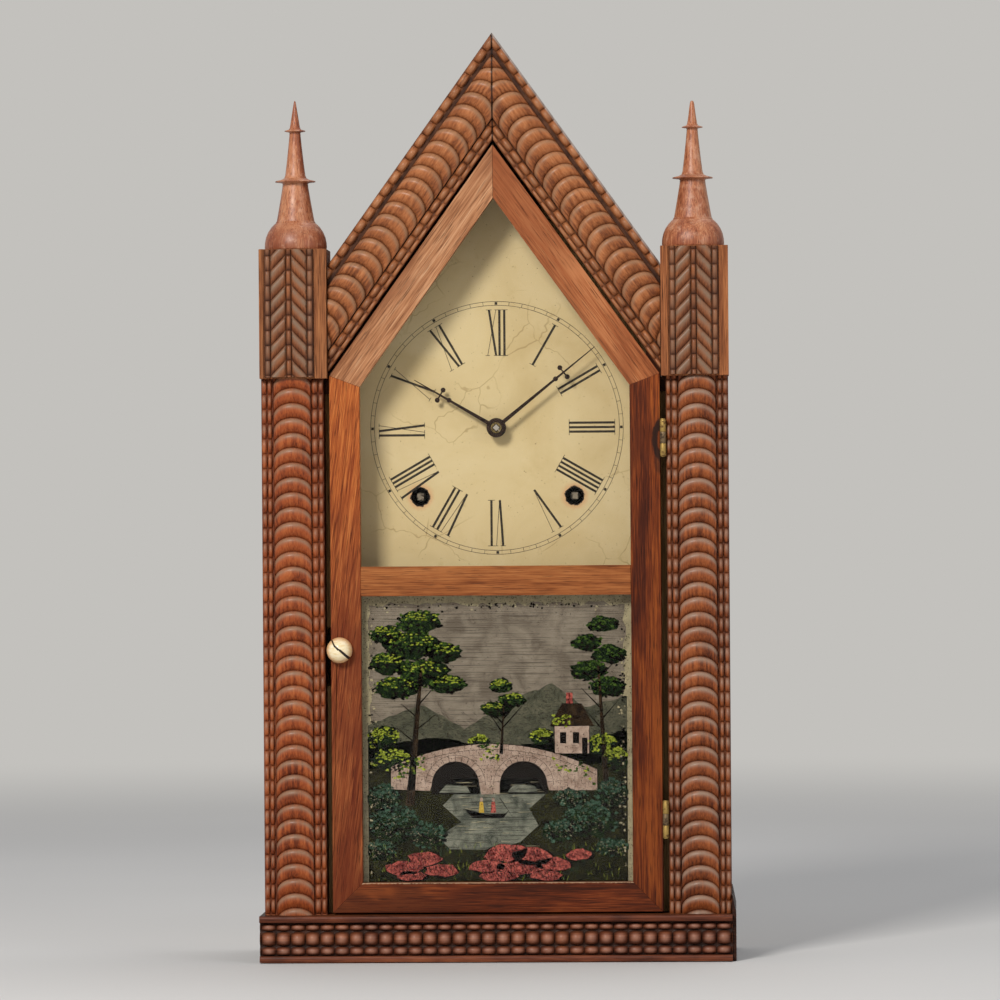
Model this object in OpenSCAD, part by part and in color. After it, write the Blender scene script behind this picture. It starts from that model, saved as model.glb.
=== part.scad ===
// Spring-driven shelf clock in a pointed case with ripple mouldings.
// X runs to the viewer's right, Y to the back, Z up; the origin is under the middle of the base.

/* [Case] */
// Width across the base
base_w = 258; // [250:1:270]
// Height of the base
base_h = 25.4; // [24:0.2:28]
// Height of the pillars
pillar_h = 291.1; // [288:0.1:293]
// Distance from each end of the base to its pillar
pillar_set = 2.3; // [2:0.1:3]
// Height of the gable's foot above the pillars
gable_foot = 61.5; // [58:0.1:66]
// Slope of the gable in degrees
gable_a = 54.3; // [54:0.1:54.8]
// Thickness of the boards of the box
board_t = 8; // [7:0.5:9]
// Thickness of the back board
back_t = 6; // [5:0.5:7]
// Thickness of the boards behind pillars and gable mouldings
stile_t = 14.3; // [13:0.1:15]
// Overhang of the side skirts beyond the case sides
skirt_out = 4; // [3:0.5:5]
// Height of the bevel on top of the right skirt
skirt_bevel = 10; // [6:0.5:14]

/* [Ripple mouldings] */
// Width of a ripple moulding
ripple_w = 33.8; // [33.4:0.1:34.4]
// Thickness of a ripple moulding at its crests
ripple_t = 6.2; // [6:0.1:6.6]
// Distance from one ripple to the next
ripple_pitch = 8.06; // [8:0.01:8.4]
// Width of the arched band in the middle of the moulding
band_w = 19.7; // [19:0.1:20]
// Radius of one crescent in the arched band
crescent_r = 12; // [11.8:0.1:12.4]
// Half thickness of one crescent
crescent_t = 2.2; // [2:0.1:2.3]
// Thickness of the base moulding at its crests
base_bead_t = 6; // [5:0.1:7]

/* [Finials] */
// How far a finial block stands over the pillar's inner edge
block_lap = 2.4; // [2:0.1:3]
// Depth of a finial block
block_d = 34; // [30:1:40]
// Height of a finial block
block_h = 69.8; // [68:0.1:72]
// Width of the herringbone panel
panel_w = 26; // [24:0.5:28]
// Height of a turned finial
finial_h = 80.6; // [78:0.2:84]
// Radius at the foot of a finial
finial_r = 16.8; // [15:0.1:17.5]

/* [Door] */
// Gap between the door and each pillar
door_gap = 3.3; // [3.1:0.1:3.6]
// Thickness of the door
door_t = 17; // [15:0.5:18]
// Width of the door's stiles and bottom rail
rail_w = 16.3; // [15:0.1:17]
// Lower edge of the middle rail above the table
mid_rail_z = 198.2; // [190:0.2:202]
// Height of the middle rail
mid_rail_h = 16.0; // [15:0.1:18]
// Thickness of the glass
glass_t = 1.8; // [1.4:0.1:2.4]
// Width of the rebate that the glass sits in
rebate = 5; // [4:0.1:5.5]
// Radius of the door knob
knob_r = 7; // [6:0.1:7.6]
// Height of the knob above the table
knob_z = 169.1; // [160:0.5:176]
// Radius of a hinge knuckle
knuckle_r = 1.6; // [1.5:0.05:1.6]
// Length of a hinge
hinge_l = 19.4; // [17:0.2:22]

/* [Dial and hands] */
// Height of the dial's centre above the table
dial_z = 289.4; // [287:0.2:291]
// Depth from the base moulding's front to the dial
dial_y = 41.4; // [41:0.1:41.8]
// How far the dial plate reaches behind the door's stiles
dial_lap = 6.7; // [5:0.1:7.5]
// Length of the minute hand
minute_l = 69.6; // [64:0.2:71]
// Length of the hour hand
hour_l = 52; // [46:0.2:58]
// Distance of each winding arbor beside the dial's centre
wind_x = 42.3; // [42:0.1:42.6]
// Distance of the winding arbors below the dial's centre
wind_z = 37.4; // [37:0.1:37.8]

/* [Movement] */
// Distance between the two brass plates
plate_gap = 26.8; // [26.8:0.1:28]
// Thickness of a brass plate
plate_t = 1.6; // [1.4:0.1:1.6]
// Depth of the blocks that carry the movement
carrier_d = 12; // [11:0.5:15]
// Teeth of both great wheels
great_n = 60; // [58:2:60]
// Tooth module of the great wheels
great_m = 0.95; // [0.95:0.005:0.96]
// Teeth of the escape wheel
escape_n = 42; // [36:1:48]
// Tip radius of the escape wheel
escape_r = 15.5; // [14:0.1:15.6]
// Distance from the pendulum's bending point to the middle of the bob
pendulum_l = 212.8; // [200:0.2:216]
// Radius of the pendulum bob
bob_r = 17; // [14:0.5:19]
// Radius of the gong's largest turn
gong_r = 33; // [28:0.5:36]
// Turns of the gong wire
gong_turns = 4; // [3:1:5]

/* [Hidden] */
$fn = 48;
run_gap = 0.05;
soft_gap = 0.3;
dial_t = 0.6;
dial_gap = 12;
base_d = dial_y + dial_t + dial_gap + plate_gap + 2 * plate_t + carrier_d + back_t;
front_y = -base_d / 2;
back_y = base_d / 2;

// Depths, counted from the base moulding's face
ripple_set = 6.8;
stile_front_y = front_y + ripple_set + ripple_t;
stile_back_y = stile_front_y + stile_t;
door_back_y = stile_back_y - soft_gap;
door_front_y = door_back_y - door_t;
board_y = back_y - back_t;

// Case outline
pillar_out = base_w / 2 - pillar_set;
pillar_in = pillar_out - ripple_w;
pillar_top = base_h + pillar_h;
side_out = base_w / 2 - skirt_out;
side_in = side_out - board_t;
block_in = pillar_in - block_lap;
block_w = ripple_w + block_lap + 0.4;
block_proud = 1.4;
block_bottom = pillar_top + 0.5;
gable_end = block_in - 0.4;
slope = tan(gable_a);
peak_z = pillar_top + gable_foot + gable_end * slope;
drop = ripple_w / cos(gable_a);
gable_in_z = peak_z - drop;
mitre = 0.03;

// Door outline
door_gap_z = 1;
door_bottom = base_h + door_gap_z;
door_x = pillar_in - door_gap;
door_peak = gable_in_z - 2.9;
light_x = door_x - rail_w;
raking_drop = 28.8;
light_peak = door_peak - raking_drop;
light_low = mid_rail_z + mid_rail_h;
tablet_low = door_bottom + rail_w;
lip_t = 7;
glass_y = door_front_y + lip_t;
glass_fit = 0.4;
pin_x = (door_x + pillar_in) / 2;
pin_y = door_front_y - knuckle_r;
pin_r = 0.8;
leaf_t = 1;
hinge_zs = [base_h + 51, pillar_top - 33.45];
knob_x = -(door_x - 4.8);
spindle_r = 1.8;
tongue_l = 12;
stop_w = 14;
stop_t = 7.7;

// Depths in the movement
dial_face = front_y + dial_y;
plate_y = dial_face + dial_t + dial_gap;
inside_y = plate_y + plate_t;
back_plate_y = inside_y + plate_gap;
pivot_r = 0.7;
arbor_r = 1.5;

// Tooth counts and modules of both trains; every pinion is a cage of round pins
second_n = 48;
second_m = 0.85;
centre_n = 76;
centre_m = 0.6;
third_n = 78;
third_m = 0.5;
minute_n = 36;
minute_m = 0.75;
hour_n = 40;
hour_m = 0.72;
pin_wheel_n = 56;
pin_wheel_m = 0.62;
warning_n = 48;
warning_m = 0.55;
count_n = 78;
great_leaves = 10;
centre_leaves = 12;
small_leaves = 8;
function mesh(n, leaves, m) = (n + leaves) * m / 2;
great_mesh = mesh(great_n, great_leaves, great_m);
second_mesh = mesh(second_n, centre_leaves, second_m);
third_mesh = mesh(centre_n, small_leaves, centre_m);
escape_mesh = mesh(third_n, small_leaves, third_m);
warning_mesh = mesh(pin_wheel_n, small_leaves, pin_wheel_m);
fly_mesh = mesh(warning_n, small_leaves, warning_m);
minute_mesh = mesh(minute_n, centre_leaves, minute_m);
count_m = 2 * great_mesh / (count_n + centre_leaves);

// Arbor places in the plane of the plates, from the dial's centre
function polar(r, a) = [r * cos(a), r * sin(a)];
function meet(p, rp, q, rq, side) =
    let (v = q - p, d = norm(v), a = (rp * rp - rq * rq + d * d) / (2 * d), h = sqrt(rp * rp - a * a))
    p + v / d * a + side * [-v[1], v[0]] / d * h;
function angle_to(p, q) = atan2(q[1] - p[1], q[0] - p[0]);
centre = [0, 0];
time_great = [wind_x, -wind_z];
strike_great = [-wind_x, -wind_z];
second = meet(centre, second_mesh, time_great, great_mesh, 1);
escape = [0, 27];
verge_drop = 20;
verge_at = escape + [0, verge_drop];
third = meet(centre, third_mesh, escape, escape_mesh, -1);
minute_at = polar(minute_mesh, -15);
pin_wheel = [-second[0], second[1]];
warning = pin_wheel + polar(warning_mesh, 100);
fly_at = warning + polar(fly_mesh, 82);
hammer_at = [-6, -48];
pillar_low = -70;
pillar_ats = [[-44, 52], [44, 52], [-wind_x, pillar_low], [wind_x, pillar_low], [0, -58]];
pillar_r = 2.5;
ear_ats = [[-56, 50], [56, 50], [-56, -66], [56, -66]];

// Wheel layers, as depths behind the front plate
great_d = 19.4;
spring_d = 2.6;
spring_w = 14;
second_d = 23.6;
centre_d = 3.4;
third_d = 7.4;
count_d = 0.8;
warning_d = 9.4;
wheel_t = 1;
great_t = 1.6;

// Escapement and pendulum
escape_y = plate_y - 2.3;
rod_y = plate_y - 4.9;
crutch_y = plate_y - 3.3;
rod_r = 0.8;
loop_r = 8;
crutch_l = 24;
bob_z = dial_z + verge_at[1] - pendulum_l;

// Gong and hammer
gong_z = base_h + 66.6;
gong_y = 28;
gong_wire_r = 1.1;
gong_sides = 6;
gong_steps = 24;
hammer_side = 30;
hammer_up = 30;
hammer_head = [-hammer_side, gong_z + hammer_up - dial_z];
hammer_head_r = 6;

// Helpers for boards drawn in the clock's front view
module slab(y0, y1) {
    translate([0, y1, 0]) rotate([90, 0, 0]) linear_extrude(height = y1 - y0) children();
}
module box(x0, x1, y0, y1, z0, z1) {
    translate([x0, y0, z0]) cube([x1 - x0, y1 - y0, z1 - z0]);
}
module both_sides() {
    children();
    mirror([1, 0, 0]) children();
}
module rod_y_axis(x, z, r, y0, y1) {
    translate([x, y1, z]) rotate([90, 0, 0]) cylinder(r = r, h = y1 - y0);
}

// Ripple mouldings
slab_t = 2.2;
bead_cols = [
    [band_w / 2 + 2.1, 3.3, 3.4, -1.4],
    [band_w / 2 + 5.45, 3.0, 3.0, -0.9]
];
band_sag = 2.6;
band_proud = 1.6;
band_r = (pow(band_w / 2, 2) + band_sag * band_sag) / (2 * band_sag);
crescent_fall = crescent_r - sqrt(crescent_r * crescent_r - pow(band_w / 2, 2));
crescent_tilt = atan(band_sag / crescent_fall);
module crescent() {
    rotate([crescent_tilt, 0, 0]) translate([0, 0, -crescent_r]) rotate([90, 0, 0])
        rotate_extrude(angle = 116, start = 32, $fn = 64)
            translate([crescent_r, 0, 0]) circle(r = crescent_t, $fn = 24);
}
module ripple_strip(len) {
    count = floor(len / ripple_pitch);
    first = (len - (count - 1) * ripple_pitch) / 2;
    union() {
        box(-ripple_w / 2, ripple_w / 2, -slab_t, 0, 0, len);
        intersection() {
            box(-band_w / 2, band_w / 2, -ripple_t - 1, -slab_t / 2, 0, len);
            union() {
                translate([0, band_r - ripple_t + band_proud, 0])
                    cylinder(r = band_r, h = len, $fn = 96);
                for (i = [0 : count - 1])
                    translate([0, crescent_t - ripple_t, first + i * ripple_pitch]) crescent();
            }
        }
        intersection() {
            box(-ripple_w / 2, ripple_w / 2, -ripple_t - 1, -slab_t / 2, 0, len);
            for (i = [0 : count - 1], s = [-1, 1], col = bead_cols)
                translate([s * col[0], col[3], first + i * ripple_pitch]) rotate([0, 90, 0])
                    cylinder(r = col[2], h = col[1], center = true, $fn = 32);
        }
    }
}
module pillar_ripple() {
    translate([pillar_in + ripple_w / 2, stile_front_y, base_h]) ripple_strip(pillar_h);
}
module pillar_ripple_left() {
    color("saddlebrown") mirror([1, 0, 0]) pillar_ripple();
}
module pillar_ripple_right() {
    color("saddlebrown") pillar_ripple();
}
gable_len = gable_end / cos(gable_a) + ripple_w * slope;
module gable_ripple() {
    low_z = peak_z - drop / 2 - gable_end * slope;
    start = ripple_w / 2 * slope;
    intersection() {
        box(-gable_end, 0, stile_front_y - ripple_t - 1, stile_front_y + 1, 0, peak_z + 1);
        translate([-gable_end, stile_front_y, low_z]) rotate([0, 90 - gable_a, 0])
            translate([0, 0, -start]) ripple_strip(gable_len + start);
    }
}
module gable_ripple_left() {
    color("saddlebrown") gable_ripple();
}
module gable_ripple_right() {
    color("saddlebrown") mirror([1, 0, 0]) gable_ripple();
}

// Base
floor_t = 10;
front_rail_t = 10;
module base_frame() {
    color("sienna") union() {
        box(-side_out, side_out, front_y + base_bead_t + front_rail_t, board_y, base_h - floor_t, base_h);
        box(-side_out, side_out, front_y + base_bead_t, front_y + base_bead_t + front_rail_t, 0, base_h);
    }
}
moulding_rows = [[3.8, 8.7, 3.1], [9.2, 16.8, 3.5], [17.3, 21.1, 2.9]];
moulding_step = 8;
moulding_end_gap = 2.1;
module base_front_moulding() {
    y0 = front_y + base_bead_t;
    right = base_w / 2 - moulding_end_gap;
    len = base_w / 2 + right;
    count = floor(len / moulding_step);
    first = -base_w / 2 + (len - (count - 1) * moulding_step) / 2;
    color("saddlebrown") union() {
        box(-base_w / 2, right, y0 - 2.4, y0, 0, base_h);
        box(-base_w / 2, right, front_y, y0, 0, moulding_rows[0][0]);
        box(-base_w / 2, right, front_y, y0, base_h - 3.5, base_h);
        intersection() {
            box(-base_w / 2, right, front_y, y0 - 1, 0, base_h);
            for (i = [0 : count - 1], row = moulding_rows)
                translate([first + i * moulding_step, front_y + row[2] + 0.3, row[0]])
                    cylinder(r = row[2], h = row[1] - row[0], $fn = 32);
        }
    }
}
module base_skirts() {
    y0 = front_y + base_bead_t;
    color("maroon") {
        box(-base_w / 2, -side_out, y0, board_y, 0, base_h);
        union() {
            box(side_out, base_w / 2, y0, board_y, 0, base_h);
            box(side_out, pillar_out + 0.2, stile_back_y, board_y, base_h - 1, base_h + skirt_bevel);
            slab(y0, board_y) polygon([
                [pillar_out, base_h - 1], [base_w / 2, base_h - 1], [base_w / 2, base_h],
                [pillar_out + 0.4, base_h + skirt_bevel], [pillar_out, base_h + skirt_bevel]
            ]);
        }
    }
}

// Box of the case
roof_t = board_t;
roof_drop = roof_t / cos(gable_a);
module case_sides() {
    color("sienna") both_sides()
        box(side_in, side_out, stile_back_y, board_y, base_h, pillar_top - board_t);
}
module shoulder_boards() {
    riser_top = peak_z - roof_drop - gable_end * slope;
    color("sienna") both_sides() {
        box(gable_end - board_t, side_out, stile_back_y, board_y, pillar_top - board_t, pillar_top);
        box(gable_end - board_t, gable_end, stile_back_y, board_y, pillar_top, riser_top);
    }
}
module roof_boards() {
    color("sienna") both_sides() slab(stile_back_y, board_y) polygon([
        [mitre, peak_z - mitre * slope], [gable_end, peak_z - gable_end * slope],
        [gable_end, peak_z - roof_drop - gable_end * slope], [mitre, peak_z - roof_drop - mitre * slope]
    ]);
}
back_lift = 3;
module back_board() {
    low = peak_z - gable_end * slope;
    color("peru") slab(board_y, back_y) polygon([
        [-side_out, back_lift], [side_out, back_lift], [side_out, pillar_top],
        [gable_end, pillar_top], [gable_end, low], [0, peak_z], [-gable_end, low],
        [-gable_end, pillar_top], [-side_out, pillar_top]
    ]);
}
module front_frame() {
    color("sienna") both_sides() {
        box(pillar_in, pillar_out, stile_front_y, stile_back_y, base_h, pillar_top);
        slab(stile_front_y, stile_back_y) polygon([
            [mitre, peak_z - mitre * slope], [gable_end, peak_z - gable_end * slope],
            [gable_end, gable_in_z - gable_end * slope], [mitre, gable_in_z - mitre * slope]
        ]);
    }
}
module door_stops() {
    top = pillar_top - board_t;
    y0 = stile_back_y;
    color("sienna") {
        box(pillar_in - 6, pillar_in + stop_w - 6, y0, y0 + stop_t, base_h, top);
        box(-pillar_in - stop_w + 6, -pillar_in + 6, y0, y0 + stop_t, base_h, knob_z - 20);
        box(-pillar_in - stop_w + 6, -pillar_in + 6, y0, y0 + stop_t, knob_z + 12, top);
    }
}

// Finial blocks, herringbone panels and finials
block_x = block_in + block_w / 2;
block_front_y = stile_front_y - ripple_t - block_proud;
panel_t = 2;
panel_step = 7.9;
panel_fall = 42;
panel_shift = 2.3;
module finial_blocks() {
    color("sienna") both_sides()
        box(block_in, block_in + block_w, block_front_y, block_front_y + block_d,
            block_bottom, block_bottom + block_h);
}
module chevron_panel(x) {
    arm_in = 1.8;
    arm_out = panel_w / 2 - 2.7;
    count = ceil(block_h / panel_step) + 2;
    translate([x, block_front_y, block_bottom]) {
        box(-panel_w / 2, panel_w / 2, -0.9, 0, 0, block_h);
        for (s = [0, 1]) mirror([s, 0, 0]) intersection() {
            box(arm_in, arm_out, -panel_t, 0, 0, block_h);
            for (i = [0 : count - 1])
                translate([0, 0.6, (i + 0.3) * panel_step]) rotate([0, 90 + panel_fall, 0])
                    translate([0, 0, -4]) cylinder(r = 2.6, h = 24, $fn = 32);
        }
        intersection() {
            box(-panel_w / 2, panel_w / 2, -panel_t, -0.5, 0, block_h);
            for (i = [0 : floor(block_h / panel_step) - 1], bead = [[0, 0.4, 2.2, 3],
                [-arm_out - 1.5, 0.8, 2.5, 2], [arm_out + 1.5, 0.8, 2.5, 2]])
                translate([bead[0], bead[1], (i + 0.6) * panel_step]) rotate([0, 90, 0])
                    cylinder(r = bead[2], h = bead[3], center = true, $fn = 32);
        }
    }
}
module chevron_panels() {
    color("saddlebrown") {
        chevron_panel(-block_x - panel_shift);
        chevron_panel(block_x);
    }
}
dome_h = 15.1;
finial_shift = 0.6;
neck_r = 10.5;
module finial(side) {
    k = finial_h / 80.6;
    dome = [for (a = [0 : 15 : 90]) [neck_r + (finial_r - neck_r) * cos(a), dome_h * sin(a)]];
    translate([side * (block_x - finial_shift), block_front_y + block_w / 2, block_bottom + block_h])
        rotate_extrude($fn = 64) polygon(concat([[0, 0]], [for (p = dome) [p[0], p[1] * k]], [
            [10.3, 15.7 * k], [8.7, 25.4 * k], [7.0, 33.5 * k], [6.8, 36 * k], [10.8, 36.9 * k],
            [10.8, 37.5 * k], [7.4, 38.6 * k], [5.6, 40.6 * k], [4.1, 52.5 * k], [3.1, 61.6 * k],
            [3.0, 63.7 * k], [5.7, 64.2 * k], [5.6, 64.8 * k], [3.4, 65.6 * k], [2.5, 67 * k],
            [1.9, 71 * k], [0.5, finial_h], [0, finial_h]
        ]));
}
module finials() {
    color("sienna") {
        finial(-1);
        finial(1);
    }
}

// Door
module door_bar(points) {
    difference() {
        slab(door_front_y, door_back_y) polygon(points);
        slab(glass_y, door_back_y + 1) upper_light(rebate);
        slab(glass_y, door_back_y + 1) lower_light(rebate);
    }
}
module upper_light(e) {
    peak = light_peak + e / cos(gable_a);
    side = peak - (light_x + e) * slope;
    polygon([
        [-light_x - e, light_low - e], [light_x + e, light_low - e],
        [light_x + e, side], [0, peak], [-light_x - e, side]
    ]);
}
module lower_light(e) {
    polygon([
        [-light_x - e, tablet_low - e], [light_x + e, tablet_low - e],
        [light_x + e, mid_rail_z + e], [-light_x - e, mid_rail_z + e]
    ]);
}
module stile_bar() {
    door_bar([
        [light_x, tablet_low], [door_x, door_bottom], [door_x, door_peak - door_x * slope],
        [light_x, light_peak - light_x * slope]
    ]);
}
module door_stile_left() {
    color("sienna") difference() {
        mirror([1, 0, 0]) stile_bar();
        rod_y_axis(knob_x, knob_z, spindle_r + run_gap, door_front_y - 1, door_back_y + 1);
    }
}
module door_stile_right() {
    color("sienna") stile_bar();
}
module door_bottom_rail() {
    color("sienna") door_bar([
        [-door_x, door_bottom], [door_x, door_bottom], [light_x, tablet_low], [-light_x, tablet_low]
    ]);
}
module door_middle_rail() {
    color("sienna") door_bar([
        [-light_x, mid_rail_z], [light_x, mid_rail_z], [light_x, light_low], [-light_x, light_low]
    ]);
}
module door_raking_rails() {
    color("sienna") both_sides() door_bar([
        [door_x, door_peak - door_x * slope], [mitre, door_peak - mitre * slope],
        [mitre, light_peak - mitre * slope], [light_x, light_peak - light_x * slope]
    ]);
}
module upper_glass() {
    color("lightcyan") slab(glass_y, glass_y + glass_t) upper_light(rebate - glass_fit);
}
module tablet_glass() {
    color("darkseagreen") slab(glass_y, glass_y + glass_t) lower_light(rebate - glass_fit);
}
module glazing_putty() {
    y0 = glass_y + glass_t;
    color("dimgray") slab(y0, y0 + 3) {
        difference() {
            upper_light(rebate - 0.05);
            upper_light(1);
        }
        difference() {
            lower_light(rebate - 0.05);
            lower_light(1);
        }
    }
}

// Hinges: outer knuckles on the case leaf, middle knuckle on the door leaf
knuckle_gap = 0.15;
module knuckle(z, len) {
    translate([pin_x, pin_y, z]) cylinder(r = knuckle_r, h = len);
}
module pin_bore(z) {
    translate([pin_x, pin_y, z - 1]) cylinder(r = pin_r + run_gap, h = hinge_l + 2);
}
module hinge_case_leaves() {
    part_l = hinge_l / 3;
    color("goldenrod") for (zc = hinge_zs) {
        z = zc - hinge_l / 2;
        difference() {
            union() {
                box(pillar_in - leaf_t, pillar_in, pin_y + knuckle_r + 0.3, door_back_y - 6, z, z + hinge_l);
                for (k = [0, 2]) {
                    box(pillar_in - leaf_t, pillar_in, pin_y, pin_y + knuckle_r + 0.3,
                        z + k * part_l, z + (k + 1) * part_l);
                    knuckle(z + k * part_l, part_l);
                }
            }
            pin_bore(z);
        }
        translate([pin_x, pin_y, z - 0.6]) cylinder(r = pin_r, h = hinge_l + 1.2);
        for (s = [-0.6, hinge_l]) translate([pin_x, pin_y, z + s]) cylinder(r = 1.3, h = 0.6);
    }
}
module hinge_door_leaves() {
    part_l = hinge_l / 3;
    color("goldenrod") for (zc = hinge_zs) {
        z = zc - hinge_l / 2;
        difference() {
            union() {
                box(door_x, door_x + leaf_t, pin_y + knuckle_r + 0.3, door_back_y - 6, z, z + hinge_l);
                box(door_x, door_x + leaf_t, pin_y, pin_y + knuckle_r + 0.3,
                    z + part_l + knuckle_gap, z + 2 * part_l - knuckle_gap);
                knuckle(z + part_l + knuckle_gap, part_l - 2 * knuckle_gap);
            }
            pin_bore(z);
        }
    }
}

// Knob and latch
tongue_t = 1.5;
catch_t = 1.1;
tongue_y = stile_back_y + catch_t + soft_gap;
module knob() {
    bulge = knob_r * 0.56;
    y0 = door_front_y - 2 - bulge;
    color("ivory") translate([knob_x, door_front_y, knob_z]) rotate([90, 0, 0])
        rotate_extrude($fn = 64) polygon(concat(
            [[0, 0], [3.2, 0], [2.8, 1.2]],
            [for (a = [-60 : 15 : 75]) [knob_r * cos(a), 2 + bulge + bulge * sin(a)]],
            [[0, 2 + 2 * bulge]]
        ));
}
module door_latch() {
    color("darkkhaki") union() {
        rod_y_axis(knob_x, knob_z, spindle_r, door_front_y, tongue_y + tongue_t);
        rod_y_axis(knob_x, knob_z, 3.5, tongue_y, tongue_y + tongue_t);
        box(knob_x - 3.5, knob_x + 3.5, tongue_y, tongue_y + tongue_t, knob_z - tongue_l, knob_z);
    }
}
module catch_plate() {
    color("darkkhaki") box(-pillar_in - 7.1, -door_x - 0.9, stile_back_y, stile_back_y + catch_t,
        knob_z - 8, knob_z + 8);
}

// Dial
dial_half_w = light_x + dial_lap;
dial_low = light_low - 8.2;
dial_peak = light_peak + 17.6;
cleat_t = 8;
cleat_h = 12;
cleat_gap = 0.5;
dial_hole_r = 4.9;
module dial_plate() {
    side = dial_peak - dial_half_w * slope;
    color("wheat") difference() {
        slab(dial_face, dial_face + dial_t) polygon([
            [-dial_half_w, dial_low], [dial_half_w, dial_low], [dial_half_w, side],
            [0, dial_peak], [-dial_half_w, side]
        ]);
        rod_y_axis(0, dial_z, 4.5, dial_face - 1, dial_face + 2);
        for (s = [-1, 1])
            rod_y_axis(s * wind_x, dial_z - wind_z, dial_hole_r, dial_face - 1, dial_face + 2);
    }
}
module dial_cleats() {
    y0 = dial_face + dial_t;
    upper_z = pillar_top - board_t - cleat_gap - cleat_h;
    color("tan") for (z = [dial_low + 6, upper_z])
        both_sides() box(dial_half_w - 6, side_in, y0, y0 + cleat_t, z, z + cleat_h);
}

// Toothed wheels and lantern pinions, all with their arbors along Y
tooth_high = 1.0;
tooth_low = 0.9;
function wheel_outline(n, m, a) = [
    for (i = [0 : n - 1],
        p = [[-0.42, -tooth_low], [-0.38, 0], [0, tooth_high], [0.38, 0], [0.42, -tooth_low]])
        polar(n * m / 2 + p[1] * m, a + (i + p[0] / 2) * 360 / n)
];
module toothed_wheel(at, n, m, facing, d, t, hub, windows) {
    rim = n * m / 2 - tooth_low * m - 2.2;
    mid = (rim + hub) / 2;
    window_r = min((rim - hub) / 2 - 0.3, mid * sin(180 / max(windows, 1)) - 0.8);
    translate([at[0], 0, dial_z + at[1]]) difference() {
        slab(inside_y + d, inside_y + d + t) polygon(wheel_outline(n, m, facing + 180 / n));
        for (k = [0 : windows - 1])
            let (p = polar(mid, 30 + k * 360 / windows))
                rod_y_axis(p[0], p[1], window_r, inside_y + d - 1, inside_y + d + t + 1);
    }
}
module lantern(at, leaves, m, facing, d0, d1) {
    r = leaves * m / 2;
    trundle = 0.2 * PI * m;
    shroud = min(0.7, (d1 - d0) / 5);
    translate([at[0], 0, dial_z + at[1]]) {
        rod_y_axis(0, 0, r + trundle + 0.4, inside_y + d0, inside_y + d0 + shroud);
        rod_y_axis(0, 0, r + trundle + 0.4, inside_y + d1 - shroud, inside_y + d1);
        for (k = [0 : leaves - 1])
            let (p = polar(r, facing + k * 360 / leaves))
                translate([p[0], inside_y + d1 - shroud / 2, p[1]]) rotate([90, 0, 0])
                    cylinder(r = trundle, h = d1 - d0 - shroud, $fn = 16);
    }
}
module arbor(at, r, front, back) {
    z = dial_z + at[1];
    rod_y_axis(at[0], z, r, front, back);
    if (front == inside_y + soft_gap)
        rod_y_axis(at[0], z, pivot_r, plate_y, front);
    rod_y_axis(at[0], z, pivot_r, back, back_plate_y + plate_t);
}
arbor_front = inside_y + soft_gap;
arbor_back = back_plate_y - soft_gap;

// Time train
wind_arbor_r = 2.6;
square_w = 3.6;
ratchet_r = 9;
ratchet_n = 16;
ratchet_d = great_d - 1.8;
module click(at, side) {
    y0 = inside_y + ratchet_d + 0.2;
    y1 = inside_y + great_d;
    pivot = polar(15, 60);
    translate([at[0], 0, dial_z + at[1]]) mirror([side < 0 ? 1 : 0, 0, 0]) union() {
        slab(y0, y1) polygon([
            pivot + [1.6, 1.2], pivot + [-1.8, 1.8], polar(ratchet_r + 0.4, 100),
            polar(ratchet_r + 2.2, 84), pivot + [1.4, -1.6]
        ]);
        rod_y_axis(pivot[0], pivot[1], 1.8, y0 - 0.8, y1);
    }
}
module great_wheel(at, side, mate) {
    z = dial_z + at[1];
    difference() {
        union() {
            toothed_wheel(at, great_n, great_m, angle_to(at, mate), great_d, great_t, 15, 0);
            rod_y_axis(at[0], z, 5, inside_y + great_d, inside_y + great_d + great_t + 2);
            click(at, side);
        }
        rod_y_axis(at[0], z, wind_arbor_r + run_gap,
            inside_y + great_d - 1, inside_y + great_d + great_t + 3);
    }
}
module winding_arbor(at, side) {
    z = dial_z + at[1];
    tip = plate_y - 9.2;
    union() {
        rod_y_axis(at[0], z, wind_arbor_r, plate_y - 2, arbor_back);
        rod_y_axis(at[0], z, pivot_r * 2, arbor_back, back_plate_y + plate_t);
        box(at[0] - square_w / 2, at[0] + square_w / 2, tip, plate_y - 1.5,
            z - square_w / 2, z + square_w / 2);
        translate([at[0], 0, z]) mirror([side < 0 ? 1 : 0, 0, 0])
            slab(inside_y + ratchet_d, inside_y + great_d - 0.2) polygon([
                for (i = [0 : ratchet_n - 1], p = [[0, 0], [0.12, -2]])
                    polar(ratchet_r + p[1], (i + p[0]) * 360 / ratchet_n)
            ]);
    }
}
module time_great_wheel() {
    color("goldenrod") great_wheel(time_great, 1, second);
}
module time_winding_arbor() {
    color("gray") winding_arbor(time_great, 1);
}
module time_second_wheel() {
    color("goldenrod") union() {
        arbor(second, arbor_r, arbor_front, arbor_back);
        lantern(second, great_leaves, great_m, angle_to(second, time_great),
            great_d - 1.4, great_d + great_t + 1.4);
        toothed_wheel(second, second_n, second_m, angle_to(second, centre), second_d, wheel_t, 4, 5);
    }
}
cannon_d0 = -(plate_t + 9.6);
cannon_d1 = -(plate_t + 7.2);
minute_hand_y = dial_face - 8.5;
cannon_front_y = minute_hand_y - 0.6;
collar_r = 2.9;
collar_t = 0.5;
hand_tip_y = cannon_front_y - collar_t - 0.3;
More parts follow.
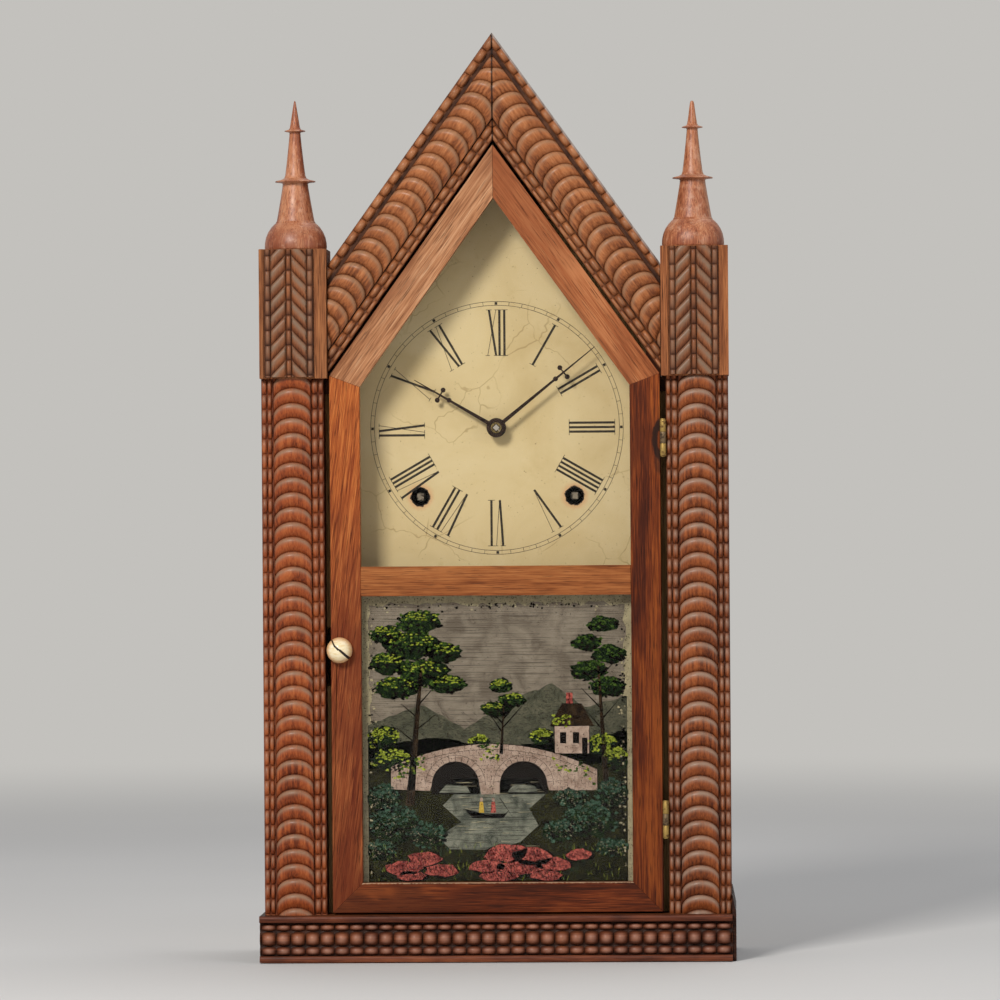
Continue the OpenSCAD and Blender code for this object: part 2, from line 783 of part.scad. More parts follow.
module centre_wheel() {
    z = dial_z;
    color("goldenrod") union() {
        rod_y_axis(0, z, arbor_r, hand_tip_y, arbor_front);
        rod_y_axis(0, z, arbor_r + 0.7, arbor_front, arbor_back);
        rod_y_axis(0, z, pivot_r, arbor_back, back_plate_y + plate_t);
        lantern(centre, centre_leaves, second_m, angle_to(centre, second),
            second_d - 1.6, second_d + wheel_t + 1.4);
        toothed_wheel(centre, centre_n, centre_m, angle_to(centre, third), centre_d, wheel_t, 5, 5);
        rod_y_axis(0, z, collar_r, cannon_front_y - collar_t, cannon_front_y);
    }
}
module third_wheel() {
    color("goldenrod") union() {
        arbor(third, arbor_r - 0.3, arbor_front, arbor_back);
        lantern(third, small_leaves, centre_m, angle_to(third, centre),
            centre_d - 1.3, centre_d + wheel_t + 1.3);
        toothed_wheel(third, third_n, third_m, angle_to(third, escape), third_d, wheel_t, 4, 5);
    }
}
module escape_wheel() {
    z = dial_z + escape[1];
    y0 = escape_y;
    color("goldenrod") union() {
        rod_y_axis(0, z, 1, y0 - 0.3, plate_y + 0.8);
        rod_y_axis(0, z, 1, plate_y, arbor_back);
        rod_y_axis(0, z, pivot_r, arbor_back, back_plate_y + plate_t);
        lantern(escape, small_leaves, third_m, angle_to(escape, third),
            third_d - 1.2, third_d + wheel_t + 1.2);
        translate([0, 0, z]) slab(y0, y0 + wheel_t) difference() {
            polygon([
                for (i = [0 : escape_n - 1], p = [[0, 0], [0.2, -2.4], [0.85, -2.4]])
                    polar(escape_r + p[1], (i + p[0]) * 360 / escape_n)
            ]);
            for (k = [0 : 4]) translate(polar(escape_r * 0.47, 18 + k * 72)) circle(r = escape_r * 0.2);
        }
    }
}

// Motion work behind the dial
cannon_r = 2.15;
hour_pipe_r = 2.9;
hour_hand_y = dial_face - 5.5;
hand_t = 0.5;
module cannon_pinion() {
    color("darkgoldenrod") difference() {
        union() {
            rod_y_axis(0, dial_z, cannon_r, cannon_front_y, inside_y + cannon_d1);
            lantern(centre, centre_leaves, minute_m, angle_to(centre, minute_at), cannon_d0, cannon_d1);
        }
        rod_y_axis(0, dial_z, arbor_r + 0.03, cannon_front_y - 1, plate_y);
    }
}
minute_d = cannon_d0 + 0.8;
module minute_wheel() {
    z = dial_z + minute_at[1];
    front = inside_y + cannon_d0 - 2.1;
    color("darkgoldenrod") difference() {
        union() {
            toothed_wheel(minute_at, minute_n, minute_m, angle_to(minute_at, centre), minute_d, 0.8, 3, 0);
            lantern(minute_at, great_leaves, hour_m, angle_to(minute_at, centre),
                cannon_d0 - 2.1, cannon_d0 - 0.1);
            rod_y_axis(minute_at[0], z, 1.9, front, inside_y + minute_d + 1.4);
        }
        rod_y_axis(minute_at[0], z, 1 + run_gap, front - 1, plate_y);
    }
}
hour_d = cannon_d0 - 1.45;
module hour_wheel() {
    color("darkgoldenrod") difference() {
        union() {
            toothed_wheel(centre, hour_n, hour_m, angle_to(centre, minute_at), hour_d, 0.7, 4, 0);
            rod_y_axis(0, dial_z, hour_pipe_r, hour_hand_y - 0.4, inside_y + hour_d + 0.7);
        }
        rod_y_axis(0, dial_z, cannon_r + run_gap, hour_hand_y - 2, plate_y);
    }
}

// Hands: a ring, a slender arm with small discs round a crossing, and a point
ring_r = 5.3;
disc_r = 1.35;
disc_out = 3.2;
disc_up = 1.1;
disc_down = 4.6;
minute_turn = 51;
hour_turn = 300.5;
minute_disc_at = 46.5;
hour_disc_at = 34.5;
module hand(len, disc_at, bore, y, turn) {
    translate([0, y, dial_z]) rotate([0, turn, 0]) difference() {
        union() {
            rod_y_axis(0, 0, ring_r, 0, hand_t);
            slab(0, hand_t) polygon([
                [-1.1, ring_r - 1.3], [-0.55, disc_at], [-0.2, len], [0.2, len],
                [0.55, disc_at], [1.1, ring_r - 1.3]
            ]);
            for (p = [[-disc_out, disc_up], [disc_out, disc_up], [0, -disc_down]])
                rod_y_axis(p[0], disc_at + p[1], disc_r, 0, hand_t);
            box(-disc_out, disc_out, 0, hand_t, disc_at + disc_up - 0.4, disc_at + disc_up + 0.4);
        }
        rod_y_axis(0, 0, bore, -1, hand_t + 1);
    }
}
module minute_hand() {
    color("black") hand(minute_l, minute_disc_at, cannon_r, minute_hand_y, minute_turn);
}
module hour_hand() {
    color("black") hand(hour_l, hour_disc_at, hour_pipe_r, hour_hand_y, hour_turn);
}

// Plates, pillars and fastenings
window_list = [
    [-20, -34, 9], [20, -34, 9], [-22, -60, 6], [22, -60, 6], [38, 0, 9], [-40, -5, 8],
    [30, 38, 9], [-36, 38, 6]
];
plate_half_w = 50;
plate_foot = -75;
plate_head = 58;
plate_cut = 8;
module plate_outline() {
    difference() {
        polygon([for (x = [-1, 1]) each [
            [x * plate_half_w, x < 0 ? plate_head - plate_cut : plate_foot + plate_cut],
            [x * plate_half_w, x < 0 ? plate_foot + plate_cut : plate_head - plate_cut],
            [x * (plate_half_w - plate_cut), x < 0 ? plate_foot : plate_head],
            [-x * (plate_half_w - plate_cut), x < 0 ? plate_foot : plate_head]
        ]]);
        for (w = window_list) translate([w[0], w[1]]) circle(r = w[2]);
    }
}
wheel_arbors = [second, third, pin_wheel, warning, fly_at];
module front_plate() {
    post_z = dial_z + verge_at[1];
    color("goldenrod") difference() {
        union() {
            translate([0, 0, dial_z]) slab(plate_y, inside_y) plate_outline();
            rod_y_axis(minute_at[0], dial_z + minute_at[1], 1, plate_y - 11.3, plate_y);
            rod_y_axis(0, post_z, pivot_r, plate_y - 3, plate_y);
            box(-2.5, 2.5, rod_y - 1.5, plate_y, post_z + 4, post_z + 9);
            box(-2.5, 2.5, rod_y - 1.5, rod_y + 1, post_z + soft_gap, post_z + 5);
        }
        for (p = wheel_arbors) rod_y_axis(p[0], dial_z + p[1], pivot_r + run_gap, plate_y - 1, inside_y + 1);
        rod_y_axis(hammer_at[0], dial_z + hammer_at[1], pivot_r + run_gap, plate_y - 1, inside_y + 1);
        rod_y_axis(0, dial_z, arbor_r + run_gap, plate_y - 1, inside_y + 1);
        rod_y_axis(escape[0], dial_z + escape[1], 1 + run_gap, plate_y - 1, inside_y + 1);
        for (p = [time_great, strike_great])
            rod_y_axis(p[0], dial_z + p[1], wind_arbor_r + run_gap, plate_y - 1, inside_y + 1);
    }
}
screw_r = 2;
ear_r = 6;
module back_plate() {
    y1 = back_plate_y + plate_t;
    color("goldenrod") difference() {
        union() {
            translate([0, 0, dial_z]) slab(back_plate_y, y1) plate_outline();
            for (p = ear_ats)
                box(min(p[0], 0.8 * p[0]) - ear_r, max(p[0], 0.8 * p[0]) + ear_r, back_plate_y, y1,
                    dial_z + p[1] - ear_r, dial_z + p[1] + ear_r);
        }
        for (p = concat(wheel_arbors, [centre, escape, hammer_at]))
            rod_y_axis(p[0], dial_z + p[1], pivot_r + run_gap, back_plate_y - 1, y1 + 1);
        for (p = [time_great, strike_great])
            rod_y_axis(p[0], dial_z + p[1], pivot_r * 2 + run_gap, back_plate_y - 1, y1 + 1);
        for (p = ear_ats) rod_y_axis(p[0], dial_z + p[1], screw_r, back_plate_y - 1, y1 + 1);
    }
}
module plate_pillars() {
    color("darkgoldenrod") for (p = pillar_ats)
        rod_y_axis(p[0], dial_z + p[1], pillar_r, inside_y, back_plate_y);
}
carrier_in = plate_half_w - 1;
carrier_out = 65;
carrier_low = plate_foot - 7;
carrier_high = plate_head + 4;
screw_hole_d = carrier_d - 3;
module movement_blocks() {
    y0 = back_plate_y + plate_t;
    color("tan") difference() {
        both_sides() box(carrier_in, carrier_out, y0, board_y,
            dial_z + carrier_low, dial_z + carrier_high);
        for (p = ear_ats) rod_y_axis(p[0], dial_z + p[1], screw_r, y0 - 1, y0 + screw_hole_d);
    }
}
module movement_screws() {
    y0 = back_plate_y;
    color("gray") for (p = ear_ats) {
        rod_y_axis(p[0], dial_z + p[1], screw_r, y0, y0 + plate_t + screw_hole_d - 0.6);
        rod_y_axis(p[0], dial_z + p[1], screw_r * 1.9, y0 - 1.8, y0);
    }
}

// Mainsprings: open coils whose outer end reaches its plate pillar
spring_turns = 7;
spring_steps = 20;
spring_in = 3.2;
spring_out = 24;
spring_half_t = 0.22;
spring_tail_r = -pillar_low - wind_z - pillar_r - spring_half_t;
spring_n = spring_turns * spring_steps;
function spring_radius(i) = i <= spring_n
    ? spring_in + (spring_out - spring_in) * i / spring_n
    : spring_out + (spring_tail_r - spring_out) * (i - spring_n) / 8;
function spring_edge(t) = [for (i = [0 : spring_n + 8])
    polar(spring_radius(i) + t, -90 - (spring_n + 8 - i) * 360 / spring_steps)];
module spring_coil() {
    outer = spring_edge(spring_half_t);
    inner = spring_edge(-spring_half_t);
    polygon(concat(outer, [for (i = [len(inner) - 1 : -1 : 0]) inner[i]]));
}
module mainsprings() {
    color("slategray") for (at = [time_great, strike_great])
        translate([at[0], 0, dial_z + at[1]])
            slab(inside_y + spring_d, inside_y + spring_d + spring_w) spring_coil();
}

// Escapement and pendulum
module verge() {
    z = dial_z + verge_at[1];
    y0 = escape_y;
    arc_in = escape_r + 2.1;
    color("slategray") difference() {
        union() {
            rod_y_axis(0, z, 2.6, crutch_y, plate_y - 0.8);
            translate([0, 0, dial_z + escape[1]]) slab(y0, y0 + 1.2) intersection() {
                difference() {
                    circle(r = verge_drop - 1.4, $fn = 96);
                    circle(r = arc_in, $fn = 96);
                }
                polygon([[0, 0], polar(40, 48), polar(40, 132)]);
            }
            translate([0, 0, dial_z + escape[1]]) slab(y0, y0 + 1.2) {
                for (side = [0, 1]) mirror([side, 0]) polygon([
                    polar(arc_in - 0.7, 48), polar(arc_in + 0.8, 48),
                    polar(arc_in + 0.8, 54), polar(arc_in, 56)
                ]);
            }
            translate([0, crutch_y, z - crutch_l]) cylinder(r = 0.45, h = crutch_l, $fn = 16);
            translate([0, crutch_y, z - crutch_l]) rotate([0, 90, 0])
                cylinder(r = 0.45, h = 2 * (rod_r + 0.8), center = true, $fn = 16);
            for (s = [-1, 1]) rod_y_axis(s * (rod_r + 0.8), z - crutch_l, 0.45, rod_y - 1.4, crutch_y);
        }
        rod_y_axis(0, z, pivot_r + run_gap, crutch_y - 1, plate_y);
    }
}
spring_strip_l = 13;
module pendulum_rod() {
    z = dial_z + verge_at[1];
    foot = bob_z - bob_r - 5;
    color("silver") union() {
        box(-0.15, 0.15, rod_y - 1, rod_y + 0.8, z - spring_strip_l, z);
        translate([0, rod_y, dial_z + loop_r])
            cylinder(r = rod_r, h = z - spring_strip_l + 2 - dial_z - loop_r, $fn = 24);
        translate([0, rod_y, dial_z]) rotate([90, 0, 0]) rotate_extrude($fn = 64)
            translate([loop_r, 0, 0]) circle(r = rod_r, $fn = 24);
        translate([0, rod_y, foot]) cylinder(r = rod_r, h = dial_z - loop_r - foot, $fn = 24);
    }
}
bob_t = 9;
bob_edge_t = 1.2;
nut_r = 3;
module pendulum_bob() {
    bulge = (bob_t - bob_edge_t) / 2;
    face_r = (bob_r * bob_r + bulge * bulge) / (2 * bulge);
    face_a = asin(bob_r / face_r);
    face = [for (k = [0 : 8]) let (a = k * face_a / 8)
        [face_r * sin(a), bob_t / 2 - face_r * (1 - cos(a))]];
    color("goldenrod") difference() {
        union() {
            translate([0, rod_y, bob_z]) rotate([90, 0, 0]) rotate_extrude($fn = 96)
                polygon(concat(face, [for (k = [8 : -1 : 0]) [face[k][0], -face[k][1]]]));
            translate([0, rod_y, bob_z - bob_r - 3.2]) cylinder(r = nut_r, h = 2.4);
        }
        translate([0, rod_y, bob_z - bob_r - 6]) cylinder(r = rod_r + 0.02, h = 2 * bob_r + 12, $fn = 24);
    }
}

// Strike train
module strike_great_wheel() {
    color("goldenrod") great_wheel(strike_great, -1, pin_wheel);
}
module strike_winding_arbor() {
    color("gray") winding_arbor(strike_great, -1);
}
hammer_pin_n = 12;
hammer_pin_r = 11.5;
module strike_pin_wheel() {
    z = dial_z + pin_wheel[1];
    color("goldenrod") union() {
        arbor(pin_wheel, arbor_r, arbor_front, arbor_back);
        lantern(pin_wheel, great_leaves, great_m, angle_to(pin_wheel, strike_great),
            great_d - 1.4, great_d + great_t + 1.1);
        lantern(pin_wheel, centre_leaves, count_m, angle_to(pin_wheel, strike_great),
            count_d - 0.4, count_d + 1.4);
        toothed_wheel(pin_wheel, pin_wheel_n, pin_wheel_m, angle_to(pin_wheel, warning),
            second_d, wheel_t, 4, 0);
        for (k = [0 : hammer_pin_n - 1])
            let (p = polar(hammer_pin_r, k * 360 / hammer_pin_n))
                translate([pin_wheel[0] + p[0], inside_y + second_d + 0.2, z + p[1]]) rotate([90, 0, 0])
                    cylinder(r = 0.5, h = 2, $fn = 16);
    }
}
module count_wheel() {
    at = strike_great;
    z = dial_z + at[1];
    color("goldenrod") difference() {
        union() {
            toothed_wheel(at, count_n, count_m, angle_to(at, pin_wheel), count_d, 0.8, 8, 4);
            rod_y_axis(at[0], z, 5, inside_y + soft_gap, inside_y + count_d + 0.8);
        }
        rod_y_axis(at[0], z, wind_arbor_r + run_gap, inside_y - 1, inside_y + count_d + 2);
    }
}
fly_r = 12.6;
module warning_wheel() {
    color("goldenrod") union() {
        arbor(warning, arbor_r - 0.3, arbor_front, arbor_back);
        lantern(warning, small_leaves, pin_wheel_m, angle_to(warning, pin_wheel),
            second_d - 1.2, second_d + wheel_t + 1.2);
        toothed_wheel(warning, warning_n, warning_m, angle_to(warning, fly_at), warning_d, wheel_t, 4, 5);
    }
}
module fly() {
    z = dial_z + fly_at[1];
    color("goldenrod") union() {
        arbor(fly_at, 1, arbor_front, arbor_back);
        lantern(fly_at, small_leaves, warning_m, angle_to(fly_at, warning),
            warning_d - 1.2, warning_d + wheel_t + 1.2);
        box(fly_at[0] - fly_r, fly_at[0] + fly_r, inside_y + 13, inside_y + 21, z - 0.3, z + 0.3);
    }
}
module hammer() {
    z = dial_z + hammer_at[1];
    v = hammer_head - hammer_at;
    tail = polar(norm(pin_wheel - hammer_at) - hammer_pin_r - 1.6, angle_to(hammer_at, pin_wheel));
    wire_y = inside_y + 22.7;
    color("slategray") union() {
        arbor(hammer_at, 1.4, arbor_front, arbor_back);
        translate([hammer_at[0], wire_y, z]) rotate([0, atan2(v[0], v[1]), 0])
            cylinder(r = 0.9, h = norm(v), $fn = 24);
        translate([hammer_at[0], wire_y, z]) rotate([0, atan2(tail[0], tail[1]), 0])
            cylinder(r = 0.7, h = norm(tail), $fn = 24);
        rod_y_axis(hammer_head[0], dial_z + hammer_head[1], hammer_head_r, gong_y - 6, gong_y + 6);
    }
}

// Gong: one unbroken wire wound from the post outwards
gong_post_r = 4;
gong_start_r = gong_post_r + gong_wire_r + 0.1;
gong_n = gong_turns * gong_steps;
function gong_ring(i) = let (
        a = i * 360 / gong_steps,
        r = gong_start_r + (gong_r - gong_start_r) * i / gong_n
    ) [for (k = [0 : gong_sides - 1])
        let (b = k * 360 / gong_sides, rr = r + gong_wire_r * cos(b))
            [rr * cos(a), gong_wire_r * sin(b), rr * sin(a)]];
gong_pitch = (gong_r - gong_start_r) / gong_turns;
echo(least_gap_between_gong_turns = gong_pitch - 2 * gong_wire_r);
module gong_coil() {
    points = [for (i = [0 : gong_n]) each gong_ring(i)];
    walls = [for (i = [0 : gong_n - 1], k = [0 : gong_sides - 1])
        let (a = i * gong_sides + k, b = i * gong_sides + (k + 1) % gong_sides)
            each [[a, b, a + gong_sides], [b, b + gong_sides, a + gong_sides]]];
    first_cap = [for (k = [1 : gong_sides - 2]) [0, k + 1, k]];
    last = gong_n * gong_sides;
    last_cap = [for (k = [1 : gong_sides - 2]) [last, last + k, last + k + 1]];
    color("slategray") translate([0, gong_y, gong_z])
        polyhedron(points = points, faces = concat(walls, first_cap, last_cap));
}
module gong_block() {
    color("dimgray") union() {
        rod_y_axis(0, gong_z, 15, board_y - 4, board_y);
        rod_y_axis(0, gong_z, 9, board_y - 8, board_y - 4);
        rod_y_axis(0, gong_z, gong_post_r, gong_y - 2.5, board_y - 8);
    }
}

base_frame();
base_front_moulding();
base_skirts();
case_sides();
back_board();
shoulder_boards();
roof_boards();
front_frame();
pillar_ripple_left();
pillar_ripple_right();
gable_ripple_left();
gable_ripple_right();
finial_blocks();
chevron_panels();
finials();
door_stops();
catch_plate();
hinge_case_leaves();
dial_plate();
dial_cleats();
movement_blocks();
movement_screws();
front_plate();
back_plate();
plate_pillars();
mainsprings();
gong_block();
gong_coil();
door_stile_left();
door_stile_right();
door_bottom_rail();
door_middle_rail();
door_raking_rails();
upper_glass();
tablet_glass();
glazing_putty();
hinge_door_leaves();
knob();
door_latch();
time_great_wheel();
time_winding_arbor();
time_second_wheel();
centre_wheel();
third_wheel();
escape_wheel();
cannon_pinion();
minute_wheel();
hour_wheel();
hour_hand();
minute_hand();
verge();
pendulum_rod();
pendulum_bob();
strike_great_wheel();
strike_winding_arbor();
strike_pin_wheel();
count_wheel();
warning_wheel();
fly();
hammer();
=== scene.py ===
# %% [markdown]
# # A pointed shelf clock with ripple mouldings
#
# The clock stands on a shelf: a wooden case with a steep gable, two pillars, two turned
# finials and a door with clear glass above and a painted glass below. Its front is covered
# with ripple mouldings, strips of rosewood that a machine cut into waves.
#
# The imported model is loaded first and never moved. It already has every board, wheel and
# joint in its right place, so this file only adds what a solid model leaves plain: the waves
# of the mouldings, the print on the dial, the picture on the glass, and every finish.

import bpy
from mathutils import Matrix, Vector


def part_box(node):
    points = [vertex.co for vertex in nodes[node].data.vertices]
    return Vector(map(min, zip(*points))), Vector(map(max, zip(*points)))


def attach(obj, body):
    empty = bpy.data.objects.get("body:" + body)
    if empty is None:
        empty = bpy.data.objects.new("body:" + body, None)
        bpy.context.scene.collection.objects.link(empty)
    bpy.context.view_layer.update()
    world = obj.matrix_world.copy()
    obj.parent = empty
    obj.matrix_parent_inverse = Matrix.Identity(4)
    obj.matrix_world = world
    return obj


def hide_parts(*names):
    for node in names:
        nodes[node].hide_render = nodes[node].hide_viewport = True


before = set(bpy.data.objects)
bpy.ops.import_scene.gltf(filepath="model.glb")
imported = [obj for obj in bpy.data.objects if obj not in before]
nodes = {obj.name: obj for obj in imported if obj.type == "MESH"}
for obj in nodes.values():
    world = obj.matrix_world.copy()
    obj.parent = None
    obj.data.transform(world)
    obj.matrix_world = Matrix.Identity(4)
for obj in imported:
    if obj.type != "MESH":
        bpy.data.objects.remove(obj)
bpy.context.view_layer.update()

# %% [markdown]
# Lengths in this file are written in millimetres, as on a drawing. Blender wants metres, so
# one number turns the one into the other. The slope of the gable is needed in many places.

# %% Modules and units
import math
import random

import bmesh
import bpy
from mathutils import Matrix, Vector

MM = 0.001
GABLE = math.radians(54.3)
scene = bpy.context.scene
print("the gable rises at", round(math.degrees(GABLE), 1), "degrees")

# %% [markdown]
# ## Where the main faces lie
#
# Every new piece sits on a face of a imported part, so the depths and heights are read from
# the parts' boxes. Only sizes that the boxes cannot give are written as numbers.

# %% Depths and heights in millimetres
def span(node, axis):
    low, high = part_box(node)
    return low[axis] / MM, high[axis] / MM


BASE_LEFT, BASE_RIGHT = span("base_front_moulding", 0)
BASE_BACK = span("base_front_moulding", 1)[1]
BASE_TOP = span("base_front_moulding", 2)[1]
PILLAR_IN, PILLAR_OUT = span("pillar_ripple_right", 0)
RIPPLE_BACK = span("pillar_ripple_right", 1)[1]
PILLAR_TOP = span("pillar_ripple_right", 2)[1]
GABLE_END = -span("gable_ripple_left", 0)[0]
PEAK = span("back_board", 2)[1]
BLOCK_FRONT = span("finial_blocks", 1)[0]
BLOCK_LOW, BLOCK_HIGH = span("finial_blocks", 2)
DIAL_FACE = span("dial_plate", 1)[0]
GLASS_BACK = span("tablet_glass", 1)[1]
print("pillar", PILLAR_IN, PILLAR_OUT, "ripple back", RIPPLE_BACK, "peak", PEAK)

# %% [markdown]
# ## The camera
#
# The photograph was taken from about three metres away with a long lens, level with the
# door's middle rail and a little to the right, and the clock leans slightly to the left in
# it. The camera is made before anything else, so that each new piece can be judged from the
# same place.

# %% Camera
LENS_DISTANCE = 3.0
FRAME_WIDTH = 0.5411
AIM = Vector((0.0029, -0.045, 0.2499))
LENS_SIDE = math.radians(2.4)
LENS_ROLL = math.radians(-0.43)

camera_data = bpy.data.cameras.new("photo_camera")
camera_data.sensor_width = 36
camera_data.lens = camera_data.sensor_width * LENS_DISTANCE / FRAME_WIDTH
camera_data.clip_end = 20
camera = bpy.data.objects.new("photo_camera", camera_data)
camera.location = AIM + LENS_DISTANCE * Vector((math.sin(LENS_SIDE), -math.cos(LENS_SIDE), 0))
turn = (AIM - camera.location).to_track_quat("-Z", "Y").to_matrix().to_4x4()
camera.matrix_world = Matrix.Translation(camera.location) @ turn @ Matrix.Rotation(LENS_ROLL, 4, "Z")
scene.collection.objects.link(camera)
scene.camera = camera
print("lens", round(camera_data.lens, 1), "mm")

# %% [markdown]
# ## Floor and light
#
# The stage is plain: a wide pale floor, a soft lamp at the upper left, as in the
# photograph, weaker ones at the right and above, and an even sky for the rest. A surface
# that faces the lamps then shows about the colour that is written for it.
#
# A colour is easiest to judge as a picture stores it, from 0 to 255. Blender counts light
# itself, so a helper turns the one scale into the other.

# %% Helper: turn a colour from the photograph's scale into Blender's
def tint(red, green, blue):
    def straight(value):
        value = value / 255
        return value / 12.92 if value <= 0.04045 else ((value + 0.055) / 1.055) ** 2.4
    return (straight(red), straight(green), straight(blue), 1.0)


print("a middle grey of 128 gives", round(tint(128, 128, 128)[0], 3), "of full light")

# %% [markdown]
# Materials and the sky are both trees of nodes. They could be wired by hand in the editor.
# Here a small class adds the nodes one by one: it makes a node, feeds its inlets with a
# number or with another node, and hands back its outlet. Three kinds do most of the work:
# sums, soft steps and mixed colours.

# %% Nodes: add one, feed it, reckon with it
class Nodes:
    def __init__(self, tree):
        self.tree = tree

    def add(self, kind, **settings):
        node = self.tree.nodes.new(kind)
        for key, value in settings.items():
            setattr(node, key, value)
        return node

    def put(self, value, socket):
        if isinstance(value, bpy.types.NodeSocket):
            self.tree.links.new(value, socket)
        else:
            socket.default_value = value

    def math(self, operation, first, second=0.0, third=0.0, clamp=False):
        node = self.add("ShaderNodeMath", operation=operation, use_clamp=clamp)
        for socket, value in zip(node.inputs, (first, second, third)):
            self.put(value, socket)
        return node.outputs[0]

    def shift(self, value, low, high, new_low=0.0, new_high=1.0):
        node = self.add("ShaderNodeMapRange", interpolation_type="SMOOTHSTEP")
        for socket, number in zip(node.inputs, (value, low, high, new_low, new_high)):
            self.put(number, socket)
        return node.outputs[0]

    def mix(self, factor, first, second, how="MIX"):
        node = self.add("ShaderNodeMix", data_type="RGBA", blend_type=how)
        self.put(factor, node.inputs[0])
        self.put(first, node.inputs[6])
        self.put(second, node.inputs[7])
        return node.outputs[2]


print("sums, soft steps and mixes ready")

# %% [markdown]
# Every finish below is one Principled shader with noise, ramps and a little bump in front of
# it. Pictures wrapped round the pieces would need an unwrapped map for each of them. Noise
# in space needs none, stays sharp from near by and runs through corners as grain does.

# %% Finish: a material with noise, ramps and bump
class Finish(Nodes):
    def __init__(self, name, roughness=0.5, metallic=0.0, coat=0.0, coat_roughness=0.2, gloss=0.25):
        self.material = bpy.data.materials.new(name)
        self.material.use_nodes = True
        super().__init__(self.material.node_tree)
        self.shader = self.tree.nodes["Principled BSDF"]
        self.set("Roughness", roughness)
        self.set("Metallic", metallic)
        self.set("Coat Weight", coat)
        self.set("Coat Roughness", coat_roughness)
        self.set("Specular IOR Level", gloss)
        self.where = self.add("ShaderNodeTexCoord").outputs["Object"]

    def set(self, name, value):
        self.put(value, self.shader.inputs[name])

    def stretch(self, vector, scale=(1, 1, 1), turn=(0, 0, 0), offset=(0, 0, 0)):
        node = self.add("ShaderNodeMapping")
        self.put(vector, node.inputs["Vector"])
        node.inputs["Scale"].default_value = scale
        node.inputs["Rotation"].default_value = turn
        node.inputs["Location"].default_value = offset
        return node.outputs[0]

    def noise(self, vector, scale, detail=3.0, roughness=0.55, distortion=0.0, offset=(0, 0, 0)):
        node = self.add("ShaderNodeTexNoise")
        if isinstance(scale, tuple):
            vector = self.stretch(vector, scale, offset=offset)
            scale = 1.0
        self.put(vector, node.inputs["Vector"])
        node.inputs["Scale"].default_value = scale
        node.inputs["Detail"].default_value = detail
        node.inputs["Roughness"].default_value = roughness
        node.inputs["Distortion"].default_value = distortion
        return node.outputs[0]

    def ramp(self, value, stops):
        node = self.add("ShaderNodeValToRGB")
        band = node.color_ramp
        while len(band.elements) < len(stops):
            band.elements.new(0.5)
        for element, (position, colour) in zip(band.elements, stops):
            element.position = position
            element.color = colour
        self.put(value, node.inputs[0])
        return node.outputs[0]

    def bump(self, height, strength, distance):
        node = self.add("ShaderNodeBump")
        node.inputs["Strength"].default_value = strength
        node.inputs["Distance"].default_value = distance
        self.put(height, node.inputs["Height"])
        self.put(node.outputs[0], self.shader.inputs["Normal"])

    def tones(self):
        stored = self.add("ShaderNodeAttribute", attribute_name="tone")
        node = self.add("ShaderNodeSeparateColor")
        self.put(stored.outputs["Color"], node.inputs[0])
        return node.outputs

    def axes(self, vector=None):
        node = self.add("ShaderNodeSeparateXYZ")
        self.put(self.where if vector is None else vector, node.inputs[0])
        return node.outputs


print("finishes have noise, ramps, bump and the tones of a mesh")

# %% [markdown]
# ## The floor
#
# A sheet of paper that curves up behind the clock would hide it from the back. A flat round
# floor lets it be seen from every side. Far from the clock the floor fades into the pale
# colour of the sky, for the camera only, so that no horizon shows.

# %% A round floor that fades into the backdrop
PALE = tint(195, 193, 189)
FLOOR_RADIUS = 9.0
FLOOR_Z = -0.0002
FLOOR_CORNERS = 72
FADE_START, FADE_END = 0.9, 2.4


def link(thing):
    scene.collection.objects.link(thing)
    return thing


def paper_finish():
    f = Finish("backdrop_paper", roughness=0.9, gloss=0.1)
    cloud = f.noise(f.where, 1.5, 2)
    f.set("Base Color", f.ramp(cloud, [(0.3, tint(206, 205, 203)), (0.7, tint(212, 211, 209))]))
    far = f.add("ShaderNodeVectorMath", operation="LENGTH")
    f.put(f.where, far.inputs[0])
    seen = f.add("ShaderNodeLightPath").outputs["Is Camera Ray"]
    fade = f.math("MULTIPLY", f.shift(far.outputs["Value"], FADE_START, FADE_END), seen)
    glow = f.add("ShaderNodeEmission")
    glow.inputs["Color"].default_value = PALE
    blend = f.add("ShaderNodeMixShader")
    f.put(fade, blend.inputs[0])
    f.put(f.shader.outputs[0], blend.inputs[1])
    f.put(glow.outputs[0], blend.inputs[2])
    f.put(blend.outputs[0], f.tree.nodes["Material Output"].inputs["Surface"])
    return f.material


turns = [2 * math.pi * k / FLOOR_CORNERS for k in range(FLOOR_CORNERS)]
floor_mesh = bpy.data.meshes.new("floor")
floor_mesh.from_pydata(
    [(FLOOR_RADIUS * math.cos(a), FLOOR_RADIUS * math.sin(a), FLOOR_Z) for a in turns],
    [], [list(range(FLOOR_CORNERS))])
floor_mesh.materials.append(paper_finish())
floor = link(bpy.data.objects.new("floor", floor_mesh))
print("floor", 2 * FLOOR_RADIUS, "m across")

# %% [markdown]
# ## Lamps and sky
#
# In the photograph the main light stands at the upper left: the door frame throws a shadow
# on the left side of the dial, and the hands throw theirs to the lower right. A square lamp
# of 0.6 m at 2.7 m gives that shadow its soft edge. The sky looks pale to the camera and in
# reflections, but lights the clock only weakly, or the shadows would drown.

# %% Lamps and sky
SKY_LIGHT = (0.28, 0.285, 0.3, 1)


def lamp(name, place, aim, size, power, colour):
    data = bpy.data.lights.new(name, "AREA")
    data.shape = "RECTANGLE"
    data.size, data.size_y = size
    data.energy = power
    data.color = colour
    thing = link(bpy.data.objects.new(name, data))
    thing.location = place
    thing.rotation_euler = (Vector(aim) - Vector(place)).to_track_quat("-Z", "Y").to_euler()
    thing.visible_camera = False


